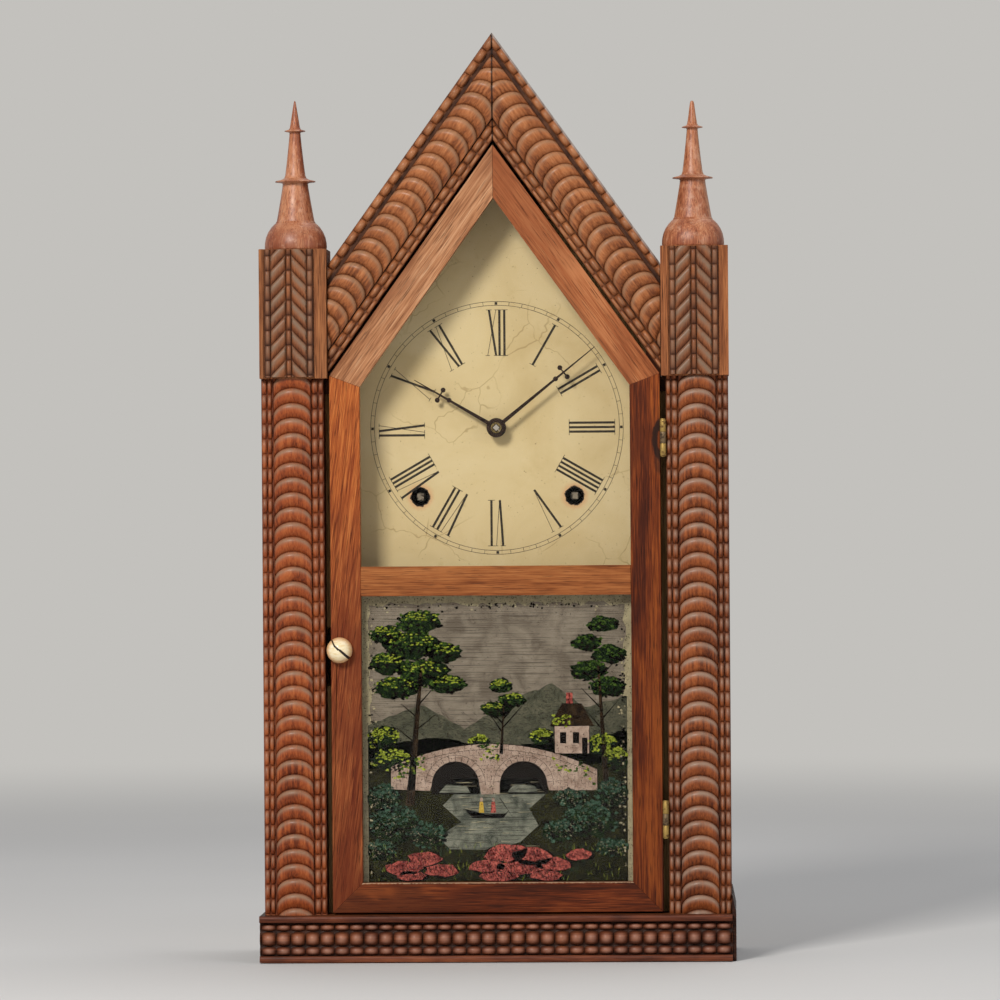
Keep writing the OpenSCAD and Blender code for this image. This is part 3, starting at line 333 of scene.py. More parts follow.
lamp("key_lamp", (-0.82, -2.15, 1.5), (0, 0, 0.27), (0.6, 0.6), 54, (1.0, 0.97, 0.93))
lamp("fill_lamp", (1.9, -1.6, 0.9), (0, 0, 0.25), (1.2, 1.2), 10, (0.95, 0.97, 1.0))
lamp("top_lamp", (0.3, 0.5, 2.0), (0, 0, 0.3), (1.4, 1.0), 10, (1.0, 1.0, 1.0))
world = bpy.data.worlds.new("sky")
scene.world = world
world.use_nodes = True
sky = Nodes(world.node_tree)
path = sky.add("ShaderNodeLightPath").outputs
direct = sky.math("MAXIMUM", path["Is Camera Ray"], path["Is Glossy Ray"])
seen = sky.math("MAXIMUM", direct, path["Is Transmission Ray"])
sky.put(sky.mix(seen, SKY_LIGHT, PALE), world.node_tree.nodes["Background"].inputs["Color"])
scene.view_settings.view_transform = "Standard"
print("lamps:", len(bpy.data.lights))

# %% [markdown]
# ## Wood
#
# Wood shows three things at once: a broad figure, fine streaks along the grain and dark
# pores. All three are noise that is stretched along the board, so the finish needs to know
# which way each board runs. Stiles run up, rails run level and the boards of the gable rake
# up to the point. Old varnish adds a thin gloss that is uneven.
#
# On a real board the grain runs on from the front over the edge. Noise in the clock's own
# space gives just that, and it never shows a seam.

# %% Grain directions
SEED_STEP = (1.0, 0.37, 0.61)
SIDE_STEP = 0.31


def apart(seed):
    return tuple(step * seed for step in SEED_STEP)


def grain_up(f, seed, slant=0.0):
    return f.stretch(f.where, turn=(0, slant, 0), offset=apart(seed))


def grain_slant(f, seed):
    return grain_up(f, seed, math.radians(-7))


def grain_level(f, seed):
    return grain_up(f, seed, math.pi / 2)


def grain_rake(f, seed):
    x, y, z = f.axes()
    folded = f.add("ShaderNodeCombineXYZ")
    f.put(f.math("ABSOLUTE", x), folded.inputs[0])
    f.put(f.math("MULTIPLY_ADD", f.math("SIGN", x), SIDE_STEP, y), folded.inputs[1])
    f.put(z, folded.inputs[2])
    leaning = f.stretch(folded.outputs[0], turn=(0, math.pi / 2 - GABLE, 0))
    return f.stretch(leaning, offset=apart(seed))


print("grain directions: up, slanted, level, raking")

# %% The wood finish: figure, streaks, veins and pores
def shade(colour, share):
    return tuple(share * v for v in colour[:3]) + (1,)


def wood_tone(f, place, dark, middle, light, stain, figure):
    broad = f.noise(place, (42, 42, 4.2), 3, 0.6, 1.4)
    streak = f.noise(place, (950, 950, 22), 4, 0.7)
    fine = f.noise(place, (2300, 2300, 60), 2, 0.6)
    grain = f.math("MULTIPLY_ADD", fine, 0.75, -0.25 - 0.45 * figure)
    grain = f.math("MULTIPLY_ADD", streak, 0.75, grain)
    grain = f.math("MULTIPLY_ADD", broad, 0.9 * figure, grain)
    colour = f.ramp(grain, [(0.3, dark), (0.5, middle), (0.7, light)])
    cloud = f.noise(place, (24, 24, 9), 3, 0.6, 0.8, offset=(3, 1, 2))
    colour = f.mix(f.shift(cloud, 0.5, 0.66, 0.0, 0.7), colour, stain)
    vein = f.noise(place, (190, 190, 6.5), 3, 0.6, 0.8, offset=(9, 2, 4))
    colour = f.mix(f.shift(vein, 0.6, 0.7, 0.0, 0.4), colour, shade(dark, 0.6))
    pores = f.shift(f.noise(place, (2600, 2600, 80), 2, 0.5, offset=(5, 5, 5)), 0.58, 0.68, 0.0, 0.7)
    colour = f.mix(pores, colour, shade(dark, 0.3))
    return colour, grain, pores


def wood(name, direction, dark, middle, light, stain, seed, coat=0.05, figure=1.0, marks=()):
    f = Finish(name, coat=coat, coat_roughness=0.28, gloss=0.1)
    colour, grain, pores = wood_tone(f, direction(f, seed), dark, middle, light, stain, figure)
    for mark in marks:
        colour = mark(f, colour)
    f.set("Base Color", colour)
    f.set("Roughness", f.shift(f.noise(f.where, 90, 3), 0.3, 0.7, 0.38, 0.6))
    f.bump(f.math("SUBTRACT", grain, pores), 0.25, 0.00025)
    return f.material


print("wood finish ready")

# %% [markdown]
# Some boards carry a mark of their own: a darker foot, a right half of another tint (on the
# raking rails a painted shade), a top edge worn pale, or a dark oval that an old hinge has
# left. Each mark is a small function that takes the colour so far and hands back a changed
# one, so a board can carry any of them.

# %% Marks that only some boards carry
FOOT_LOW, FOOT_HIGH = 0.2, 0.34
WORN_DEPTH = 0.9


def darker_foot(red, green, blue):
    def mark(f, colour):
        height = f.math("MULTIPLY_ADD", f.noise(f.where, 30, 3), 0.1, f.axes()[2])
        darker = f.mix(1.0, colour, (red, green, blue, 1), "MULTIPLY")
        return f.mix(f.shift(height, FOOT_LOW, FOOT_HIGH, 1.0, 0.0), colour, darker)
    return mark


# A right half of another tint: a lighter right block, and on the raking rails a painted shade for the
# half away from the lamp.
def right_half_tint(red, green, blue):
    def mark(f, colour):
        on_right = f.math("GREATER_THAN", f.axes()[0], 0.0)
        return f.mix(on_right, colour, f.mix(1.0, colour, (red, green, blue, 1), "MULTIPLY"))
    return mark


def worn_top_edge(top, front):
    def mark(f, colour):
        x, y, z = f.axes()
        height = f.math("MULTIPLY_ADD", f.noise(f.where, 700, 4, 0.7), 0.0022, z)
        edge = f.shift(height, top * MM + 0.0003, top * MM + 0.0007, 0.0, 0.8)
        edge = f.math("MULTIPLY", edge, f.math("LESS_THAN", y, (front + WORN_DEPTH) * MM))
        return f.mix(edge, colour, tint(176, 146, 116))
    return mark


def oval_reach(f, x, z, half_wide, half_high):
    at_x, _, at_z = f.axes()
    side = f.math("MULTIPLY_ADD", at_x, 1 / (half_wide * MM), -x / half_wide)
    rise = f.math("MULTIPLY_ADD", at_z, 1 / (half_high * MM), -z / half_high)
    return f.math("SQRT", f.math("MULTIPLY_ADD", side, side, f.math("MULTIPLY", rise, rise)))


def hinge_scar(x, z):
    def mark(f, colour):
        rough = f.math("MULTIPLY_ADD", f.noise(f.where, 500, 4, 0.7), 0.5, -0.25)
        reach = f.math("ADD", oval_reach(f, x, z, 3.9, 8.6), rough)
        rim = f.math("ABSOLUTE", f.math("SUBTRACT", reach, 1.0))
        colour = f.mix(f.shift(rim, 0.24, 0.46, 0.9, 0.0), colour, tint(30, 20, 16))
        smudge = f.math("ADD", oval_reach(f, x - 1.5, z - 13.5, 3.2, 6.5), rough)
        return f.mix(f.shift(smudge, 0.5, 1.1, 0.6, 0.0), colour, tint(44, 24, 16))
    return mark


print("marks ready: dark foot, other half, worn edge, hinge scar")

# %% [markdown]
# ## Making meshes
#
# Most new pieces are one of three things: a carved strip, whose front is a field of
# heights; a turned piece, whose outline goes round an axis; or a thin flat shape, such as a
# numeral. Each gets a helper here. Every piece is closed, so that it could be printed.

# %% Helper: hand a finished mesh to the frame
def keep(name, bm, body, material, smooth_angle=40):
    bmesh.ops.recalc_face_normals(bm, faces=bm.faces)
    mesh = bpy.data.meshes.new(name)
    bm.to_mesh(mesh)
    bm.free()
    mesh.shade_smooth()
    mesh.set_sharp_from_angle(angle=math.radians(smooth_angle))
    mesh.materials.append(material)
    piece = link(bpy.data.objects.new(name, mesh))
    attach(piece, body)
    print(name, len(mesh.vertices), "points")
    return piece


def joined(*parts):
    whole = parts[0]
    for part in parts[1:]:
        extra = bpy.data.meshes.new("extra")
        part.to_mesh(extra)
        part.free()
        whole.from_mesh(extra)
        bpy.data.meshes.remove(extra)
    return whole


print("every piece is shaded smooth, with sharp edges above an angle")

# %% Helper: a carved front from a field of heights
def vert_at(bm, place):
    return bm.verts.new([v * MM for v in place])


def carved(columns, rows, point, tone):
    """Front face only. point gives a place and its place on the flat strip, tone three values."""
    bm = bmesh.new()
    tone_layer = bm.verts.layers.float_color.new("tone")
    lay_layer = bm.verts.layers.float_vector.new("lay")
    grid = []
    for row in rows:
        level = []
        for column in columns:
            place, flat = point(column, row)
            vert = vert_at(bm, place)
            vert[tone_layer] = (*tone(column, row), 1.0)
            vert[lay_layer] = [v * MM for v in flat]
            level.append(vert)
        grid.append(level)
    for low, high in zip(grid, grid[1:]):
        for i in range(len(low) - 1):
            bm.faces.new((low[i], low[i + 1], high[i + 1], high[i]))
    bmesh.ops.remove_doubles(bm, verts=bm.verts, dist=0.01 * MM)
    bmesh.ops.dissolve_degenerate(bm, edges=bm.edges, dist=0.004 * MM)
    return bm


def close_back(bm, back_y):
    rim = [edge for edge in bm.edges if edge.is_boundary]
    grown = bmesh.ops.extrude_edge_only(bm, edges=rim)["geom"]
    for item in grown:
        if isinstance(item, bmesh.types.BMVert):
            item.co.y = back_y * MM
    outer = [item for item in grown if isinstance(item, bmesh.types.BMEdge)]
    bmesh.ops.contextual_create(bm, geom=outer)
    return bm


def fan(low, high, steps, fill=1.0):
    """Places from low to high that lie closer together towards both ends."""
    middle, half = (low + high) / 2, (high - low) / 2
    return [middle + half * fill * math.sin(math.radians(90 * i / steps))
            for i in range(-steps, steps + 1)]


print("a fan over 0 to 10:", [round(v, 1) for v in fan(0, 10, 3)])

# %% [markdown]
# ## The ripple mouldings
#
# A ripple moulding was pressed past a cutter that a cam moved up and down, so every wave
# repeats: the middle band has arched ripples like scales, and beside it run columns of
# small beads. Each wave rises steeply at its upper edge and falls slowly,
# which is why its upper edge catches the light.
#
# A wave could be made as many small solids, but they would never blend into each other. A
# field of heights can: its rows follow the arches, so the sharp valleys fall on mesh lines
# and stay crisp with few points.

# %% The wave and the arch
PITCH = 8.06
BAND_HALF = 9.95
WAVE_STEPS = [0.0, 0.03, 0.08, 0.15, 0.24, 0.34, 0.46, 0.58, 0.7, 0.81, 0.9, 0.965]
ARCH_DROP, ARCH_REACH = 7.4, 10.4
BEAD_DROP = 3.4
BEADS_FROM_LEFT, BEADS_FROM_RIGHT = 11.2, 10.5


def wave(q, power=0.75):
    """The height of one wave, 0 to 1, for q from its upper edge down."""
    return math.sin(math.pi * min(max(q, 0.0), 1.0) ** 0.65) ** power


def arch(u):
    return ARCH_DROP * (1 - math.sqrt(max(0.0, 1 - (u / ARCH_REACH) ** 2)))


def lag(u):
    """How far a wave at u hangs behind the middle of the strip."""
    side = abs(u)
    if side <= BAND_HALF:
        return arch(side)
    edge = BEADS_FROM_LEFT if u < 0 else BEADS_FROM_RIGHT
    share = min(1.0, (side - BAND_HALF) / (edge - BAND_HALF))
    return arch(BAND_HALF) + share * (BEAD_DROP - arch(BAND_HALF))


def fraction_down(u, v):
    return 1 - ((v + lag(u)) / PITCH) % 1.0


print("the arch drops", round(lag(BAND_HALF), 2), "mm from the middle to the rim of the band")

# %% [markdown]
# A bead is a small pillow. Across the strip it fills its column, and along the strip it
# fills one pitch. A list gives each column's two sides and the height of its beads, as read
# off the photograph: the pillars have two columns on each side, and the gable has one wide
# column above and two below.

# %% Beads, height and tone of a strip
PILLAR_COLUMNS = [(-16.85, -13.75, 3.4), (-13.65, -10.95, 3.8),
                  (10.35, 14.0, 3.9), (14.15, 16.85, 3.2)]
GABLE_COLUMNS = [(-16.85, -12.1, 4.4), (10.3, 14.4, 3.9), (14.5, 16.85, 2.4)]
BEAD_FLOOR = 1.2


def bead(q, t):
    """A pillow: 1 in the middle, 0 at its rim, for q along 0 to 1 and t across -1 to 1."""
    s = abs(2 * q - 1)
    round_end = max(0.0, math.cos(math.pi / 2 * s)) ** 0.6
    across = min(1.0, abs(t) / (0.7 + 0.3 * round_end))
    return (0.1 + 0.9 * round_end) * max(0.0, math.cos(math.pi / 2 * across)) ** 0.5


def find_band(value, bands):
    """The band that a place lies in: the share across it, -1 to 1, and its height."""
    for low, high, top in bands:
        if low < value < high:
            return (value - (low + high) / 2) / ((high - low) / 2), top
    return None


def ripple_height(u, v, columns):
    q = fraction_down(u, v)
    if abs(u) <= BAND_HALF:
        rise = 1 - (u / BAND_HALF) ** 2
        return 1.5 + 1.9 * rise + (2.0 + 0.65 * rise) * wave(q)
    column = find_band(u, columns)
    if column:
        return BEAD_FLOOR + (column[1] - BEAD_FLOOR) * bead(q, column[0])
    return BEAD_FLOOR


# Painted light in the tone: the pale upper edge of each wave and the crown of each bead carry a painted
# highlight together with worn patina. The creases, the lower part of each wave, the band's edges and the
# flat grooves carry a painted shade together with dirt.
def ripple_tone(u, v, columns):
    q = fraction_down(u, v)
    column = find_band(u, columns)
    if abs(u) > BAND_HALF and not column:
        return (0.0, 0.65 if columns is PILLAR_COLUMNS else 1.0)
    if column:
        mound = bead(q, column[0])
        wear_and_highlight = 1.4 * max(0.0, mound - 0.5)
        if columns is PILLAR_COLUMNS:
            wear_and_highlight = 2.3 * max(0.0, mound - 0.2) * max(0.0, 0.78 - q)
        return (wear_and_highlight, 0.8 * (1 - mound) ** 1.5)
    wear_and_highlight = math.exp(-((q - 0.17) / 0.19) ** 2)
    crease_shade_and_dirt = 0.55 * max(math.exp(-(q / 0.035) ** 2), math.exp(-((1 - q) / 0.07) ** 2))
    painted_lower_shade = 0.42 * max(0.0, (q - 0.52) / 0.48) ** 1.5
    edge = 0.5 * (abs(u) / BAND_HALF) ** 14
    return (wear_and_highlight * (1 - 0.4 * edge), max(crease_shade_and_dirt, painted_lower_shade, edge))


def strip_columns(columns):
    us = fan(-BAND_HALF, BAND_HALF, 14) + [-10.4, 10.2]
    for low, high, _ in columns:
        us += fan(low, high, 4, 0.9995) + [low - 0.05, high + 0.05]
    return sorted(us)


print("strip columns:", len(strip_columns(PILLAR_COLUMNS)), len(strip_columns(GABLE_COLUMNS)))

# %% [markdown]
# A worn cutter and a slipping cam made no two waves quite alike. One strip is built from a
# list of rows, twelve to a wave, and each wave gets its own small change in height. The
# strip is cut off at both ends by a function of its own, straight for a pillar and slanted
# for a mitre.

# %% One strip of ripple moulding
UNEVEN = 0.12
RIPPLE_TOP = 6.18


def ripple_strip(name, node, length_low, length_high, low_end, high_end, phase, place, material,
                 seed, columns):
    chance = random.Random(seed)
    first = math.floor((length_low - phase) / PITCH) - 1
    last = math.ceil((length_high - phase) / PITCH) + 2
    uneven = {k: chance.uniform(-UNEVEN, UNEVEN) for k in range(first - 2, last + 3)}
    rows = [k + 1 - q for k in range(first, last) for q in reversed(WAVE_STEPS)]

    def along(u, row):
        v = row * PITCH - lag(u) + phase
        return min(max(v, low_end(u)), high_end(u))

    def point(u, row):
        v = along(u, row)
        number = math.floor((v - phase + lag(u)) / PITCH)
        h = ripple_height(u, v - phase, columns)
        h += uneven[number] * wave(fraction_down(u, v - phase)) if abs(u) < BAND_HALF else 0
        return place(u, v, min(h, RIPPLE_TOP)), (u, v, h)

    def tone(u, row):
        v = along(u, row)
        number = math.floor((v - phase + lag(u)) / PITCH)
        wear_and_highlight, dirt_and_shade = ripple_tone(u, v - phase, columns)
        return (0.5 + 4 * uneven[number] * (1 if u * number % 2 < 1 else -1), wear_and_highlight, dirt_and_shade)

    bm = close_back(carved(strip_columns(columns), rows, point, tone), RIPPLE_BACK)
    piece = keep(name, bm, "case", material, 60)
    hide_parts(node)


print("a wave differs from the next by up to", 2 * UNEVEN, "mm")

# %% [markdown]
# The veneer on the ripples is rosewood: orange-brown in the middle of each wave, greyish on
# the upper edge, where dust has greyed the worn patina and a painted highlight lies over it,
# darker towards the foot of each wave by a painted shade, and nearly black in the valleys,
# where old polish has gathered under a painted shade. The mesh stores three values at each
# point: how much its wave differs from the others, how pale it is from wear and painted
# highlight, and how dark from dirt and painted shade. The finish mixes its colours by them.

# %% Rosewood finish for carved pieces
def carved_wood(name, dark, middle, light, worn, dirt_and_shade, wear, seed=0.0, mitred=False):
    f = Finish(name, coat=0.08, coat_roughness=0.25, gloss=0.16)
    lay = f.add("ShaderNodeAttribute", attribute_name="lay").outputs["Vector"]
    strip = f.stretch(lay, turn=(math.pi / 2, 0, 0), offset=(seed, seed, seed))
    broad = f.noise(strip, (60, 60, 18), 3, 0.6, 0.6)
    streak = f.noise(strip, (1500, 900, 60), 3, 0.6)
    blot = f.noise(lay, 150, 4, 0.6)
    tone = f.tones()
    each = f.math("MULTIPLY_ADD", tone[0], 0.16, -0.08)
    grain = f.math("MULTIPLY_ADD", broad, 0.5, f.math("MULTIPLY_ADD", streak, 0.5, each))
    colour = f.ramp(grain, [(0.36, dark), (0.5, middle), (0.66, light)])
    # The pale mask brings in the worn colour: worn patina with a painted highlight.
    patchy = f.shift(blot, 0.25, 0.65, 0.6 * wear, 1.2 * wear)
    edge = f.math("MULTIPLY", tone[1], patchy, clamp=True)
    colour = f.mix(edge, colour, worn)
    # The valley mask brings in the dark colour: dirt with a painted shade.
    valley_shade_and_dirt = f.math("MULTIPLY", tone[2], f.shift(blot, 0.2, 0.8, 0.75, 1.0), clamp=True)
    colour = f.mix(valley_shade_and_dirt, colour, dirt_and_shade)
    if mitred:
        x = f.axes()[0]
        joint = f.shift(f.math("ABSOLUTE", x), 0.0003, 0.0007, 0.85, 0.0)
        colour = f.mix(joint, colour, tint(26, 15, 11))
        rim = f.shift(f.axes(lay)[0], -0.0162, -0.0156, 0.75, 0.0)
        rim = f.math("MULTIPLY", f.math("GREATER_THAN", x, 0.0), rim)
        colour = f.mix(rim, colour, tint(158, 146, 138))
    f.set("Base Color", colour)
    f.set("Roughness", f.math("MULTIPLY_ADD", valley_shade_and_dirt, 0.3, f.shift(blot, 0.3, 0.7, 0.34, 0.52)))
    f.bump(f.math("MULTIPLY_ADD", streak, 0.6, blot), 0.22, 0.0003)
    return f.material


rosewood = carved_wood(
    "rosewood_ripple", tint(100, 44, 23), tint(150, 72, 35), tint(178, 98, 52),
    tint(140, 110, 88), tint(44, 24, 17), wear=0.8)
rosewood_right = carved_wood(
    "rosewood_ripple_right", tint(84, 40, 22), tint(132, 68, 34), tint(166, 92, 48),
    tint(146, 120, 102), tint(36, 21, 16), wear=0.85, seed=0.2)
gable_wood = carved_wood(
    "rosewood_gable", tint(112, 62, 36), tint(156, 92, 52), tint(184, 118, 74),
    tint(150, 116, 88), tint(34, 20, 14), wear=0.62, seed=0.5, mitred=True)
print("rosewood finishes:", rosewood.name, rosewood_right.name, gable_wood.name)

# %% [markdown]
# ## The pillars
#
# A strip stands on the base at each side of the door and ends below the finial block. The
# two are mirrored, and they were cut from different lengths of moulding, so their waves do
# not line up.

# %% The two pillars
PILLAR_MID = (PILLAR_IN + PILLAR_OUT) / 2
PILLAR_LEN = PILLAR_TOP - BASE_TOP


def pillar_place(side):
    def place(u, v, h):
        return (side * (PILLAR_MID - u), RIPPLE_BACK - h, BASE_TOP + v)
    return place


def pillar_low(u):
    return 0.0


def pillar_high(u):
    return PILLAR_LEN


for name, side, phase, seed, finish in (
        ("left", -1, 4.0, 1, rosewood), ("right", 1, 2.2, 2, rosewood_right)):
    ripple_strip(
        "ripples_pillar_" + name, "pillar_ripple_" + name, 0, PILLAR_LEN,
        pillar_low, pillar_high, phase, pillar_place(side), finish, seed, PILLAR_COLUMNS)

# %% [markdown]
# ## The gable
#
# Two strips climb the gable and meet in a mitre under its point. Each is built flat along
# its own length and then laid on the slope, so its arches still point along the strip. The
# foot is cut upright in line with the roof's edge, and the top along the clock's middle.

# %% The two strips of the gable
RIPPLE_HALF = (PILLAR_OUT - PILLAR_IN) / 2
GABLE_MID = PEAK - RIPPLE_HALF / math.cos(GABLE)


def gable_place(side):
    def place(u, v, h):
        x = v * math.cos(GABLE) + u * math.sin(GABLE)
        z = GABLE_MID + v * math.sin(GABLE) - u * math.cos(GABLE)
        return (x * -side, RIPPLE_BACK - h, z)
    return place


def gable_low(u):
    return (-GABLE_END - u * math.sin(GABLE)) / math.cos(GABLE)


def gable_high(u):
    return -u * math.tan(GABLE)


for name, side, seed in (("left", -1, 3), ("right", 1, 4)):
    ripple_strip(
        "ripples_gable_" + name, "gable_ripple_" + name, gable_low(17), gable_high(-17),
        gable_low, gable_high, 1.0, gable_place(side), gable_wood, seed, GABLE_COLUMNS)

# %% [markdown]
# ## The herringbone panels
#
# Each block below a finial carries a short panel cut by the same kind of machine, but with
# two cutters set at an angle. Its ridges fall to both sides from a column of beads in the
# middle and end at narrower columns of beads. The rows of this height field follow the
# ridges, just as the rows of the other strips follow their arches.

# %% Herringbone height and tone
PANEL_PITCH = 8.1
RIDGE_FALL = 1.04
RIDGE_IN = 1.7
RIDGE_OUT = 9.7
PANEL_HALF = 13.3
PANEL_COLUMNS = [(-13.1, -9.85, 1.5), (-1.55, 1.55, 2.0), (9.85, 13.1, 1.5)]


def panel_lag(u):
    return RIDGE_FALL * (min(max(abs(u), RIDGE_IN), RIDGE_OUT) - RIDGE_IN)


def panel_height(u, v):
    q = 1 - ((v + panel_lag(u)) / PANEL_PITCH) % 1.0
    column = find_band(u, PANEL_COLUMNS)
    if column:
        t, top = column
        return 0.25 + top * math.sqrt(1 - t * t) * (0.35 + 0.65 * wave(q, 0.6))
    if RIDGE_IN <= abs(u) <= RIDGE_OUT:
        soft = min(1.0, (abs(u) - RIDGE_IN + 0.2) / 0.7, (RIDGE_OUT - abs(u) + 0.2) / 0.7)
        return 0.35 + (0.25 + 1.6 * wave(q, 0.9)) * soft
    return 0.2


# Painted light in the tone: the upper side of each ridge and the crown of each bead carry a painted
# highlight with the wear. The valleys, the lower side of each ridge, the rim of each bead and the flat
# ground carry a painted shade with the dirt.
def panel_tone(u, v):
    q = 1 - ((v + panel_lag(u)) / PANEL_PITCH) % 1.0
    valley_shade_and_dirt = max(math.exp(-(q / 0.06) ** 2), math.exp(-((1 - q) / 0.12) ** 2))
    if RIDGE_IN <= abs(u) <= RIDGE_OUT:
        painted_lower_shade = 0.4 * max(0.0, (q - 0.55) / 0.45) ** 1.5
        return (wave(q), math.exp(-((q - 0.3) / 0.3) ** 2), max(0.55 * valley_shade_and_dirt, painted_lower_shade))
    column = find_band(u, PANEL_COLUMNS)
    if column:
        crown = wave(q) * (1 - column[0] ** 2)
        return (crown, (0.25 if abs(u) < 2 else 0.7) * crown, 0.85 * (1 - crown) ** 1.6)
    return (0.0, 0.0, 0.7)


print("a ridge falls", round(panel_lag(RIDGE_OUT), 1), "mm on its way out")

# %% Both panels in one piece
PANEL_LEFT, PANEL_RIGHT = -110.9, 108.4
PANEL_EDGE, PANEL_SUNK = 0.3, 0.3
SEAM = 0.07


def panel_part(centre, phase):
    us = [-PANEL_HALF, PANEL_HALF]
    for side in (-1, 1):
        us += [side * (RIDGE_IN + SEAM), side * (RIDGE_OUT + SEAM)]
        us += [side * (RIDGE_IN + (RIDGE_OUT - RIDGE_IN) * i / 10) for i in range(11)]
    for low, high, _ in PANEL_COLUMNS:
        us += fan(low, high, 3, 0.999)
    tall = BLOCK_HIGH - BLOCK_LOW - PANEL_EDGE
    waves = range(-1, int(tall / PANEL_PITCH) + 4)
    rows = [k + 1 - q for k in waves for q in reversed(WAVE_STEPS)]

    def along(u, row):
        return min(max(row * PANEL_PITCH - panel_lag(u) + phase, PANEL_EDGE), tall)

    def point(u, row):
        v = along(u, row)
        h = panel_height(u, v - phase)
        return (centre + u, BLOCK_FRONT - h, BLOCK_LOW + v), (u + centre, v, h)

    def tone(u, row):
        return panel_tone(u, along(u, row) - phase)

    return close_back(carved(sorted(us), rows, point, tone), BLOCK_FRONT + PANEL_SUNK)


panel_wood = carved_wood(
    "rosewood_panel", tint(84, 44, 26), tint(124, 70, 39), tint(156, 92, 52),
    tint(124, 99, 80), tint(38, 25, 19), wear=0.9, seed=0.3)
panels = keep(
    "herringbone_panels", joined(panel_part(PANEL_LEFT, 1.5), panel_part(PANEL_RIGHT, 3.0)),
    "case", panel_wood, 60)
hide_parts("chevron_panels")

# %% [markdown]
# ## The base moulding
#
# Along the base lies a moulding of three rows of pillows between two plain fillets. It is
# the same ripple cutter seen sideways, so the three rows share one pitch. It is darker than
# the rest.

# %% Base rows and fillets
BASE_PITCH = 7.95
BASE_ROWS = [(3.9, 8.7, 2.6), (9.2, 16.8, 4.2), (17.3, 21.1, 2.6)]
BASE_FILLETS = [(0.0, 3.6, 4.3), (21.9, 25.4, 5.6)]
BASE_FLOOR = 0.7


def base_height(x, z):
    fillet, row = find_band(z, BASE_FILLETS), find_band(z, BASE_ROWS)
    if fillet:
        return fillet[1] - 0.7 * fillet[0] ** 4
    if row:
        return 0.8 + row[1] * bead((x / BASE_PITCH) % 1.0, row[0])
    return BASE_FLOOR


# Painted light in the tone: the crown of each pillow carries a painted highlight with the wear, and the
# gaps between the pillows and the rows carry a painted shade with the dirt. The fillets take a little of
# the dark colour evenly.
def base_tone(x, z):
    fillet, row = find_band(z, BASE_FILLETS), find_band(z, BASE_ROWS)
    if fillet:
        return (0.3, 0.0, 0.22) if z > 20 else (0.7, 0.02, 0.14)
    if row:
        mound = bead((x / BASE_PITCH) % 1.0, row[0])
        each = 0.5 + 0.4 * math.sin(37.7 * math.floor(x / BASE_PITCH) + 5 * row[1])
        return (each, 1.1 * max(0.0, mound - 0.55), min(1.0, 1.15 * (1 - mound) ** 1.3))
    return (0.0, 0.0, 1.0)


print("pillows along the base:", int((BASE_RIGHT - BASE_LEFT) / BASE_PITCH))

# %% Base moulding
BASE_START = 7.1
FILLET_LINES = [0.0, 0.3, 1.0, 2.6, 3.3, 3.59, 3.75, 8.95, 17.05,
                21.5, 21.91, 22.2, 23.6, 24.8, 25.39, 25.4]
PILLOW_STEPS = [0.0, 0.05, 0.13, 0.25, 0.38, 0.5, 0.62, 0.75, 0.87, 0.95]


def base_part():
    length = BASE_RIGHT - BASE_LEFT
    zs = list(FILLET_LINES)
    for low, high, _ in BASE_ROWS:
        zs += fan(low, high, 5, 0.999)
    along = [(k + s) * BASE_PITCH - BASE_START
             for k in range(int(length / BASE_PITCH) + 2) for s in PILLOW_STEPS]
    xs = sorted({min(max(x, 0.0), length) for x in along})

    def point(x, z):
        return (BASE_LEFT + x, BASE_BACK - base_height(x + BASE_START, z), z), (z, x, 0.0)

    def tone(x, z):
        return base_tone(x + BASE_START, z)

    return close_back(carved(xs, sorted(zs), point, tone), BASE_BACK)


base_wood = carved_wood(
    "rosewood_base", tint(66, 31, 19), tint(104, 52, 31), tint(140, 78, 47),
    tint(198, 152, 130), tint(22, 15, 12), wear=0.7, seed=0.7)
base = keep("base_ripples", base_part(), "case", base_wood, 60)
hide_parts("base_front_moulding")

# %% [markdown]
# ## The finials
#
# Both finials are turned from one length of wood: a dome, then two cones that each end
# under a disc as thin as a hat brim. The left one keeps its sharp point, and the right one
# has lost the last millimetre.

# %% Helper: turn an outline round an upright axis
def skin(bm, rings):
    """Faces between rings of points. A ring of one point makes a tip of triangles."""
    for low, high in zip(rings, rings[1:]):
        for k in range(max(len(low), len(high))):
            corners = [low[k % len(low)], low[(k + 1) % len(low)],
                       high[(k + 1) % len(high)], high[k % len(high)]]
            bm.faces.new(list(dict.fromkeys(corners)))


def turned(outline, x, y, z, segments=72):
    bm = bmesh.new()
    rings = []
    for radius, height in outline:
        angles = [2 * math.pi * k / segments for k in range(segments if radius else 1)]
        rings.append([
            vert_at(bm, (x + radius * math.cos(a), y + radius * math.sin(a), z + height))
            for a in angles])
    skin(bm, rings)
    return bm


print("turning helper ready")

# %% Finials
FINIAL_LOW = [(0, 0), (15.6, 0), (16.7, 0.3), (16.95, 1.5), (16.8, 4), (16.2, 7), (15.0, 9.9),
              (13.3, 12.4), (11.9, 13.9), (11.0, 14.6), (10.7, 14.9), (10.75, 15.3), (10.3, 15.7),
              (9.3, 21), (8.1, 28), (7.1, 34), (6.9, 36.2), (7.6, 36.7), (10.9, 37.1), (11.05, 37.4),
              (10.7, 37.7), (7.7, 38.4), (6.1, 39.3), (5.5, 40.8), (4.7, 47), (3.7, 56), (3.1, 62),
              (3.0, 64.0), (3.4, 64.3), (5.6, 64.7), (5.75, 64.95), (5.5, 65.2), (3.4, 65.8),
              (2.8, 66.7)]
TIP_LEFT = [(2.1, 71), (1.3, 76), (0.55, 80.5), (0.25, 81.3), (0, 81.5)]
TIP_RIGHT = [(2.2, 70), (1.7, 74), (1.2, 77.8), (0.85, 79.0), (0, 79.5)]


